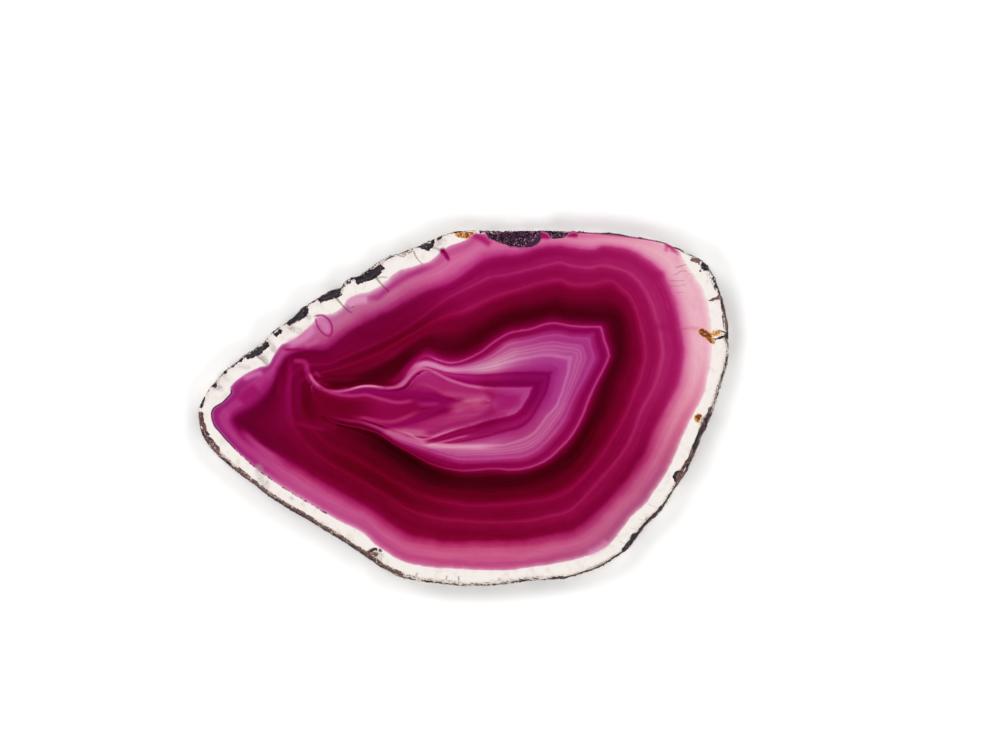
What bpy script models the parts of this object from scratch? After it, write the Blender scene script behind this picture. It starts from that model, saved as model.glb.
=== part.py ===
"""A slice of agate: a nodule sawn across, its two faces polished flat and its rough rind left as it grew.

The slice lies on its back face. +X runs along its length, from the pointed end to the round one, and +Z
points out of the front face. The origin is the middle of the underside's bounding box.
"""

import bisect
import math
from dataclasses import dataclass

import bmesh
import bpy
from mathutils import Vector, noise

MILLIMETRE = 0.001

# Driving dimensions, in millimetres
THICKNESS = 5.5
STATION_SPACING = 0.8
CURVE_STEPS = 12
NORMAL_STRETCH = 6
EDGE_CHAMFER = 0.25
PLAIN_INSET = 0.3
RAGGEDNESS = 0.35
LOWER_LEFT_LEAN = 0.75
LOWER_RIGHT_LEAN = 0.6
MEAN_HOLLOW = 0.22
LUMP_HEIGHT = 0.55
LUMP_SIZE = 2.4
GRIT_HEIGHT = 0.2
GRIT_SIZE = 1.0

# Directions that the rind faces where it leans out towards the back of the slice
LOWER_LEFT = Vector((-0.55, -0.83))
LOWER_RIGHT = Vector((0.90, -0.43))

# The slice's outline, in millimetres, clockwise from the pointed end: each point is a bend of the rind
OUTLINE = [
    (-47.5, -0.8), (-47.1, 0.8), (-46.0, 2.9), (-44.7, 4.7), (-43.1, 6.4), (-41.3, 7.9),
    (-38.9, 9.9), (-37.3, 10.9), (-35.4, 12.3), (-33.8, 14.1), (-31.6, 15.4), (-29.7, 17.1),
    (-27.9, 18.6), (-25.3, 20.4), (-23.8, 21.2), (-22.1, 21.5), (-21.5, 22.5), (-20.8, 23.1),
    (-18.8, 23.8), (-16.7, 25.3), (-14.4, 26.7), (-12.4, 27.6), (-10.3, 28.3), (-7.6, 29.4),
    (-5.1, 30.4), (-2.9, 31.3), (-1.0, 31.8), (2.9, 31.9), (8.3, 31.6), (13.7, 31.8),
    (19.0, 31.7), (24.4, 31.4), (29.7, 30.8), (33.3, 30.3), (36.3, 29.6), (38.7, 28.3),
    (41.2, 27.2), (43.1, 26.0), (44.6, 24.0), (45.6, 21.5), (46.5, 18.7), (47.1, 16.2),
    (47.4, 13.7), (47.3, 9.6), (46.7, 6.5), (45.6, 2.9), (44.7, 0.1), (43.7, -2.4),
    (42.2, -5.8), (41.0, -8.8), (39.7, -11.2), (38.1, -14.0), (36.7, -16.3), (35.1, -18.5),
    (32.9, -20.6), (31.0, -22.8), (29.2, -25.3), (27.1, -26.7), (24.4, -28.3), (20.8, -29.7),
    (17.2, -30.4), (11.9, -30.8), (6.5, -31.5), (1.2, -31.8), (-4.2, -31.3), (-7.8, -30.9),
    (-11.3, -30.1), (-14.9, -28.3), (-18.5, -25.8), (-25.6, -21.3), (-33.1, -16.9), (-40.4, -11.5),
    (-42.9, -9.4), (-45.1, -7.4), (-46.7, -4.9), (-47.5, -2.1),
]


@dataclass(frozen=True)
class Break:
    """A broken or pitted place on the front rim, in millimetres."""

    x: float
    y: float
    half_length: float
    reach: float
    drop: float


# Clockwise from the pointed end
BREAKS = [
    Break(x=-44.3, y=4.9, half_length=1.0, reach=0.7, drop=0.5),
    Break(x=-37.2, y=10.4, half_length=2.3, reach=1.3, drop=1.0),
    Break(x=-30.3, y=16.0, half_length=2.1, reach=1.1, drop=0.8),
    Break(x=-23.8, y=20.8, half_length=2.6, reach=1.2, drop=1.0),
    Break(x=-17.1, y=24.7, half_length=3.4, reach=1.7, drop=1.4),
    Break(x=-10.6, y=27.9, half_length=1.6, reach=0.9, drop=0.7),
    Break(x=-6.5, y=29.4, half_length=1.0, reach=1.1, drop=0.6),
    Break(x=9.0, y=31.2, half_length=4.9, reach=2.7, drop=2.0),
    Break(x=16.7, y=31.3, half_length=2.3, reach=1.3, drop=1.2),
    Break(x=47.0, y=13.0, half_length=1.0, reach=0.9, drop=0.5),
    Break(x=43.5, y=-2.6, half_length=1.1, reach=1.0, drop=0.6),
    Break(x=39.2, y=-12.1, half_length=1.3, reach=0.8, drop=0.7),
    Break(x=33.2, y=-20.6, half_length=1.5, reach=0.35, drop=0.5),
    Break(x=30.3, y=-23.8, half_length=1.8, reach=0.45, drop=0.6),
    Break(x=-16.2, y=-27.0, half_length=1.3, reach=1.5, drop=0.9),
]


@dataclass(frozen=True)
class Ring:
    """One level of the rind: its place, how rough it is, and how much of a lean or a break it follows."""

    height: float
    inset: float
    roughness: float
    lean_share: float = 0.0
    reach_share: float = 0.0
    drop_share: float = 0.0


SHOULDER = THICKNESS - EDGE_CHAMFER

# From just under the front face down to the back face's edge
RINGS = [
    Ring(SHOULDER, inset=0.15, roughness=0.15, lean_share=1.0, reach_share=0.88, drop_share=0.75),
    Ring(THICKNESS * 0.82, inset=0.1, roughness=0.7, lean_share=0.85, reach_share=0.45, drop_share=0.8),
    Ring(THICKNESS * 0.66, inset=0.0, roughness=1.0, lean_share=0.6, reach_share=0.1, drop_share=0.5),
    Ring(THICKNESS * 0.50, inset=0.0, roughness=1.0, lean_share=0.35, drop_share=0.2),
    Ring(THICKNESS * 0.34, inset=0.0, roughness=0.8, lean_share=0.12),
    Ring(THICKNESS * 0.19, inset=0.0, roughness=0.1),
    Ring(EDGE_CHAMFER, inset=0.1, roughness=0.3),
    Ring(0.0, inset=PLAIN_INSET, roughness=0.3),
]


def clear_scene():
    for scene_object in list(bpy.data.objects):
        bpy.data.objects.remove(scene_object, do_unlink=True)


def smooth_point(before, start, end, after, t):
    """The point a share t of the way from start to end, on a curve that passes through all four."""
    return 0.5 * (
        2 * start
        + (end - before) * t
        + (2 * before - 5 * start + 4 * end - after) * t**2
        + (3 * start - before - 3 * end + after) * t**3
    )


def closed_curve(knots, spacing):
    """Evenly spaced points along a smooth closed curve through the knots."""
    points = [Vector(knot) for knot in knots]
    dense = []
    for i, start in enumerate(points):
        before, end, after = points[i - 1], points[(i + 1) % len(points)], points[(i + 2) % len(points)]
        for step in range(CURVE_STEPS):
            dense.append(smooth_point(before, start, end, after, step / CURVE_STEPS))
    dense.append(dense[0])
    lengths = [0.0]
    for here, there in zip(dense, dense[1:]):
        lengths.append(lengths[-1] + (there - here).length)
    count = round(lengths[-1] / spacing)
    stations = []
    for i in range(count):
        along = lengths[-1] * i / count
        piece = bisect.bisect_right(lengths, along) - 1
        share = (along - lengths[piece]) / (lengths[piece + 1] - lengths[piece])
        stations.append(dense[piece].lerp(dense[piece + 1], share))
    return stations


def outward_normals(stations):
    """The outward direction at each station, across a stretch of outline that evens out its small bends."""
    half = NORMAL_STRETCH // 2
    normals = []
    for i in range(len(stations)):
        along = stations[(i + half) % len(stations)] - stations[i - half]
        normals.append(Vector((-along.y, along.x)).normalized())
    return normals


def lean(normal):
    """How far the front edge stands back from the outline, where the rind leans out towards the back."""
    lower_left = LOWER_LEFT_LEAN * max(0.0, normal.dot(LOWER_LEFT)) ** 2
    lower_right = LOWER_RIGHT_LEAN * max(0.0, normal.dot(LOWER_RIGHT)) ** 3
    return lower_left + lower_right


def break_at(station):
    """The reach and drop of the broken rim here, both nought where the rim is whole."""
    reach = drop = 0.0
    for place in BREAKS:
        away = (station - Vector((place.x, place.y))).length / place.half_length
        share = max(0.0, 1.0 - away**4)
        ragged = 0.8 + RAGGEDNESS * noise.noise(Vector((station.x, station.y, 0.0)) / GRIT_SIZE)
        reach = max(reach, place.reach * share * ragged)
        drop = max(drop, place.drop * share)
    return reach, drop


def hollow_at(point):
    """How far the rind stands in at a point, or out where a lump rises past the outline."""
    lump = LUMP_HEIGHT * noise.noise(point / LUMP_SIZE)
    grit = GRIT_HEIGHT * noise.noise(point / GRIT_SIZE)
    return MEAN_HOLLOW + lump + grit


def rim_column(station, normal):
    """The rind's points at one station, from the front face's edge down to the back face's edge."""
    stand_back = lean(normal)
    reach, drop = break_at(station)
    edge = station - normal * (PLAIN_INSET + stand_back + reach)
    column = [(edge.x, edge.y, THICKNESS)]
    for ring in RINGS:
        hollow = ring.roughness * hollow_at(Vector((station.x, station.y, ring.height)))
        inset = ring.inset + hollow + ring.lean_share * stand_back + ring.reach_share * reach
        place = station - normal * inset
        column.append((place.x, place.y, ring.height - ring.drop_share * drop))
    return column


def centred(columns):
    """The same points in metres, with the bounding box's middle on the Z axis."""
    xs = [x for column in columns for x, y, z in column]
    ys = [y for column in columns for x, y, z in column]
    middle = Vector(((min(xs) + max(xs)) / 2, (min(ys) + max(ys)) / 2, 0.0))
    return [[(Vector(point) - middle) * MILLIMETRE for point in column] for column in columns]


def slice_mesh(columns):
    """One closed body: the rind as strips between neighbouring columns, and a flat face on each side."""
    body = bmesh.new()
    verts = [[body.verts.new(point) for point in column] for column in columns]
    for i, here in enumerate(verts):
        there = verts[(i + 1) % len(verts)]
        for level in range(len(here) - 1):
            body.faces.new((here[level], there[level], there[level + 1], here[level + 1]))
    front = body.faces.new([column[0] for column in reversed(verts)])
    back = body.faces.new([column[-1] for column in verts])
    body.normal_update()
    bmesh.ops.triangulate(body, faces=[front, back], ngon_method="BEAUTY")
    mesh = bpy.data.meshes.new("agate_slice")
    body.to_mesh(mesh)
    body.free()
    return mesh


def dyed_agate():
    """Magenta-dyed agate with a high polish."""
    material = bpy.data.materials.new("dyed_agate")
    material.use_nodes = True
    shader = material.node_tree.nodes["Principled BSDF"]
    shader.inputs["Base Color"].default_value = (0.30, 0.005, 0.07, 1.0)
    shader.inputs["Roughness"].default_value = 0.12
    shader.inputs["Metallic"].default_value = 0.0
    shader.inputs["IOR"].default_value = 1.54
    return material


def main():
    clear_scene()
    stations = closed_curve(OUTLINE, STATION_SPACING)
    columns = [rim_column(*place) for place in zip(stations, outward_normals(stations))]
    mesh = slice_mesh(centred(columns))
    mesh.materials.append(dyed_agate())
    mesh.shade_smooth()
    mesh.set_sharp_from_angle(angle=math.radians(35))
    agate_slice = bpy.data.objects.new("agate_slice", mesh)
    bpy.context.scene.collection.objects.link(agate_slice)


main()
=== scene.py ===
"""The looks of a dyed agate slice: growth bands, polished faces, rough rind, and quartz in its pits.

The slice lies on its back face. +X runs towards its round end and +Z out of its front face. Places on the
stone are in millimetres from the middle of the slice, and meshes and materials are in metres.
"""

import logging
import math
from collections.abc import Mapping, Sequence
from dataclasses import dataclass
from enum import Enum
from functools import partial
from typing import Any

import bmesh
import bpy
import numpy as np
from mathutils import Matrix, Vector, geometry, noise


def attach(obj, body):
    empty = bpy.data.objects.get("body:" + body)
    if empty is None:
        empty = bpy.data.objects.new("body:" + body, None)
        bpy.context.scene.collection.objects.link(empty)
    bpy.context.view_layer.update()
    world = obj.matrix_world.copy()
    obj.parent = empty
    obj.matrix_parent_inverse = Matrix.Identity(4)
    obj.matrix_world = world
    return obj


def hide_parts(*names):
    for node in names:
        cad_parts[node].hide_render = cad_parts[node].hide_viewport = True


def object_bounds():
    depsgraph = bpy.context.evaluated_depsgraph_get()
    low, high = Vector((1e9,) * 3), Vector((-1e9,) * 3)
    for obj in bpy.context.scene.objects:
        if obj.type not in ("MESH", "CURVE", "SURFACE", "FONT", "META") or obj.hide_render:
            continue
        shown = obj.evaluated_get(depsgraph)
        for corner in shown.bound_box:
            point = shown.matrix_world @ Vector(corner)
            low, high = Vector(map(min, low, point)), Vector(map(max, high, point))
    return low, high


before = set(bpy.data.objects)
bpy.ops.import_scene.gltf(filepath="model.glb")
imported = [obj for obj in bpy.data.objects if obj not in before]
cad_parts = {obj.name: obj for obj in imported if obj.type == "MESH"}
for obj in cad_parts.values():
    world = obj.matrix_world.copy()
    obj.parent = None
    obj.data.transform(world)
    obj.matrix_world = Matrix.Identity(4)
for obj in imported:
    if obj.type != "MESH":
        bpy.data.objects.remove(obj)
cad_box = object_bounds()

MM = 0.001
THICKNESS = (cad_box[1][2] - cad_box[0][2]) / MM
WELD = 0.001 * MM
SHARP_ANGLE = math.radians(35)
log = logging.getLogger("agate_slice")

# The shortest stretch of a line that counts, the flattest slope that is told from level, and how many points
# are measured at once
SHORTEST = 1e-6
FLATTEST = 1e-9
BATCH = 4096

# The middle of a cloudy pattern
MIDDLE = 0.5

Place = tuple[float, float]
Colour = tuple[float, float, float]


class Side(Enum):
    """The sides of the slice that took the dye differently, each with its direction in degrees."""

    ROUND_END = 24.0
    CROWN = 95.0
    SLOPE = 148.0
    POINT = 182.0
    FLANK = 208.0
    KEEL = 262.0
    HEEL = 322.0

    @property
    def share_name(self) -> str:
        """The name of the mesh attribute that holds this side's share at each point."""
        return "share_" + self.name.lower()


class MarkKind(Enum):
    """What a mark on the stone is made of."""

    DYE = "dye"
    INK = "ink"
    CRACK = "crack"
    HAZE = "haze"
    RUST = "rust"
    CLAY = "clay"
    SOOT = "soot"


def smooth_line(bends: Sequence[Place], closed: bool, steps: int = 4) -> np.ndarray:
    """Works out a smooth line through its bends.

    Args:
        bends: The points that the line passes through. A bend given twice is a corner.
        closed: Whether the line runs back to its first bend.
        steps: How many pieces each stretch between two bends is cut into.

    Returns:
        The line's points, one to a row.
    """
    knots = np.array(bends, float)
    count = len(knots)
    last = count if closed else count - 1
    share = np.arange(steps)[:, None] / steps
    pieces = []
    for i in range(last):
        start = knots[i]
        if closed:
            before, end, after = knots[i - 1], knots[(i + 1) % count], knots[(i + 2) % count]
        else:
            before, end, after = knots[max(i - 1, 0)], knots[i + 1], knots[min(i + 2, count - 1)]
        bend = (2 * before - 5 * start + 4 * end - after) * share**2
        twist = (3 * start - before - 3 * end + after) * share**3
        pieces.append(0.5 * (2 * start + (end - before) * share + bend + twist))
    if not closed:
        pieces.append(knots[-1:])
    return np.concatenate(pieces)


def distance_to_line(
    points: np.ndarray, line: np.ndarray, closed: bool
) -> tuple[np.ndarray, np.ndarray, np.ndarray]:
    """Measures how far points lie from a line, which of them it goes round, and what part of it is near them.

    Args:
        points: The points, one to a row.
        line: The line's own points, one to a row.
        closed: Whether the line runs back to its first point.

    Returns:
        The distance of each point, whether it lies inside the line, which is only meant for a closed one, and
        how far along the line the nearest place is, from 0 to 1.
    """
    ends = np.roll(line, -1, axis=0)
    starts = line
    if not closed:
        starts, ends = line[:-1], ends[:-1]
    real = np.abs(ends - starts).sum(axis=1) > SHORTEST
    ax, ay = starts[real].T.astype(np.float32)
    dx, dy = (ends - starts)[real].T.astype(np.float32)
    length = dx * dx + dy * dy
    rise = np.where(np.abs(dy) < FLATTEST, np.float32(FLATTEST), dy)
    distance = np.empty(len(points), np.float32)
    inside = np.empty(len(points), bool)
    along = np.empty(len(points), np.float32)
    for first in range(0, len(points), BATCH):
        px, py = points[first:first + BATCH].T.astype(np.float32)[..., None]
        rx, ry = px - ax, py - ay
        share = np.clip((rx * dx + ry * dy) / length, 0, 1)
        gap = (rx - share * dx) ** 2 + (ry - share * dy) ** 2
        nearest = gap.argmin(axis=1)[:, None]
        distance[first:first + BATCH] = np.sqrt(np.take_along_axis(gap, nearest, axis=1))[:, 0]
        passed = nearest + np.take_along_axis(share, nearest, axis=1)
        along[first:first + BATCH] = passed[:, 0] / len(ax)
        crossed = ((ay > py) != (ay + dy > py)) & (rx < ry * dx / rise)
        inside[first:first + BATCH] = crossed.sum(axis=1) % 2 == 1
    return distance, inside, along


def eased(values: np.ndarray, low: float, high: float) -> np.ndarray:
    """Rises smoothly from 0 at low to 1 at high, or falls where low is the larger."""
    share = np.clip((values - low) / (high - low), 0, 1)
    return share * share * (3 - 2 * share)


@dataclass(frozen=True)
class Contour:
    """One growth line of the agate, which closes on itself, drawn through its bends in millimetres."""

    bends: tuple[Place, ...]

    def depth(self, points: np.ndarray) -> np.ndarray:
        """How far each point lies inside the line, below nought where it lies outside."""
        distance, inside, _ = distance_to_line(points, smooth_line(self.bends, closed=True), closed=True)
        return np.where(inside, distance, -distance)


# How far a spot's middle reaches to each side, in millimetres, and the rows of points along a fine stroke, as
# shares of its half width
SPOT_REACH = 0.01
NET_ROWS = (-1.0, -0.5, 0.0, 0.5, 1.0)


@dataclass(frozen=True)
class Mark:
    """A crack, a dash of colour or a stain on the stone, drawn as a soft stroke.

    Attributes:
        bends: The points that the stroke passes through, in millimetres. A spot has one.
        half_width: How far the stroke reaches to each side, in millimetres.
        cover: How much of the stone's own colour the stroke hides in its middle.
        density: How strongly a stroke of dye is coloured.
        blue: How much blue its dye takes out for each part of red.
        core: The share of the half width over which the stroke keeps its full strength.
        kind: What the stroke is made of.
        tip: The share of the half width that is left at the last bend.
        fade: The share of its length over which the stroke comes in, and goes out again.
    """

    bends: tuple[Place, ...]
    half_width: float
    cover: float
    density: float = 0.0
    blue: float = 2.0
    core: float = 0.2
    kind: MarkKind = MarkKind.DYE
    tip: float = 1.0
    fade: float = 0.0

    def strength(self, points: np.ndarray) -> np.ndarray:
        """How much of the stone's colour the stroke hides at each point."""
        line = self.line()
        low, high = line.min(axis=0) - self.half_width, line.max(axis=0) + self.half_width
        near = ((points > low) & (points < high)).all(axis=1)
        strength = np.zeros(len(points))
        distance, _, along = distance_to_line(points[near], line, closed=False)
        width = self.half_width * (1 - (1 - self.tip) * along)
        strength[near] = self.cover * eased(distance / width, 1.0, self.core)
        if self.fade > 0:
            strength[near] *= eased(np.minimum(along, 1 - along) / self.fade, 0.0, 1.0)
        return strength

    def line(self) -> np.ndarray:
        """The middle of the stroke, one point to a row. A spot's is too short to see."""
        if len(self.bends) > 1:
            return smooth_line(self.bends, closed=False)
        x, y = self.bends[0]
        return np.array([(x - SPOT_REACH, y), (x + SPOT_REACH, y)])

    def net(self) -> np.ndarray:
        """Points in rows along the stroke, close enough to hold its shape."""
        line = self.line()
        steps = np.diff(line, axis=0)
        across = np.column_stack((-steps[:, 1], steps[:, 0]))
        across /= np.hypot(across[:, 0], across[:, 1])[:, None]
        rows = []
        for (start, step), side in zip(zip(line, steps), across):
            count = max(round(math.hypot(*step) / self.half_width), 1)
            along = start + step * (np.arange(count) / count)[:, None]
            for share in NET_ROWS:
                rows.append(along + side * share * self.half_width)
        return np.concatenate(rows)


# Short names for marks of every kind but dye
Ink, Crack, Haze, Rust, Clay, Soot = (partial(Mark, kind=kind) for kind in list(MarkKind)[1:])


def greenness(density: float) -> float:
    """How much green the dye takes out, which is less where the stone is milky and took little dye."""
    milky, clear = (0.6, 3.75), (1.2, 4.9)
    share = (density - milky[0]) / (clear[0] - milky[0])
    return milky[1] + (clear[1] - milky[1]) * min(max(share, 0.0), 1.0)


@dataclass(frozen=True)
class Band:
    """The dye at one growth of the agate.

    Attributes:
        growth: Where the band lies, counted in growth lines from the rind inwards.
        density: How strongly the stone took the dye there.
        blue: How much blue the dye takes out for each part of red, so that a low number looks violet.
        green: The same for green, where it isn't what this density has elsewhere.
    """

    growth: float
    density: float
    blue: float
    green: float | None = None

    def strengths(self) -> Colour:
        """What the dye does to red, and for each part of that to green and to blue."""
        return self.density, self.green or greenness(self.density), self.blue


@dataclass(frozen=True)
class Uptake:
    """How one side took the dye at one growth, next to the whole stone.

    Attributes:
        growth: The growth, as a band has it.
        density: What the band's density is multiplied by.
        blue: What its blue is multiplied by, below 1 where the side looks more violet.
        green: The same for its green.
    """

    growth: float
    density: float
    blue: float = 1.0
    green: float = 1.0

    def strengths(self) -> Colour:
        """The three factors in the order that a band has them."""
        return self.density, self.green, self.blue
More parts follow.
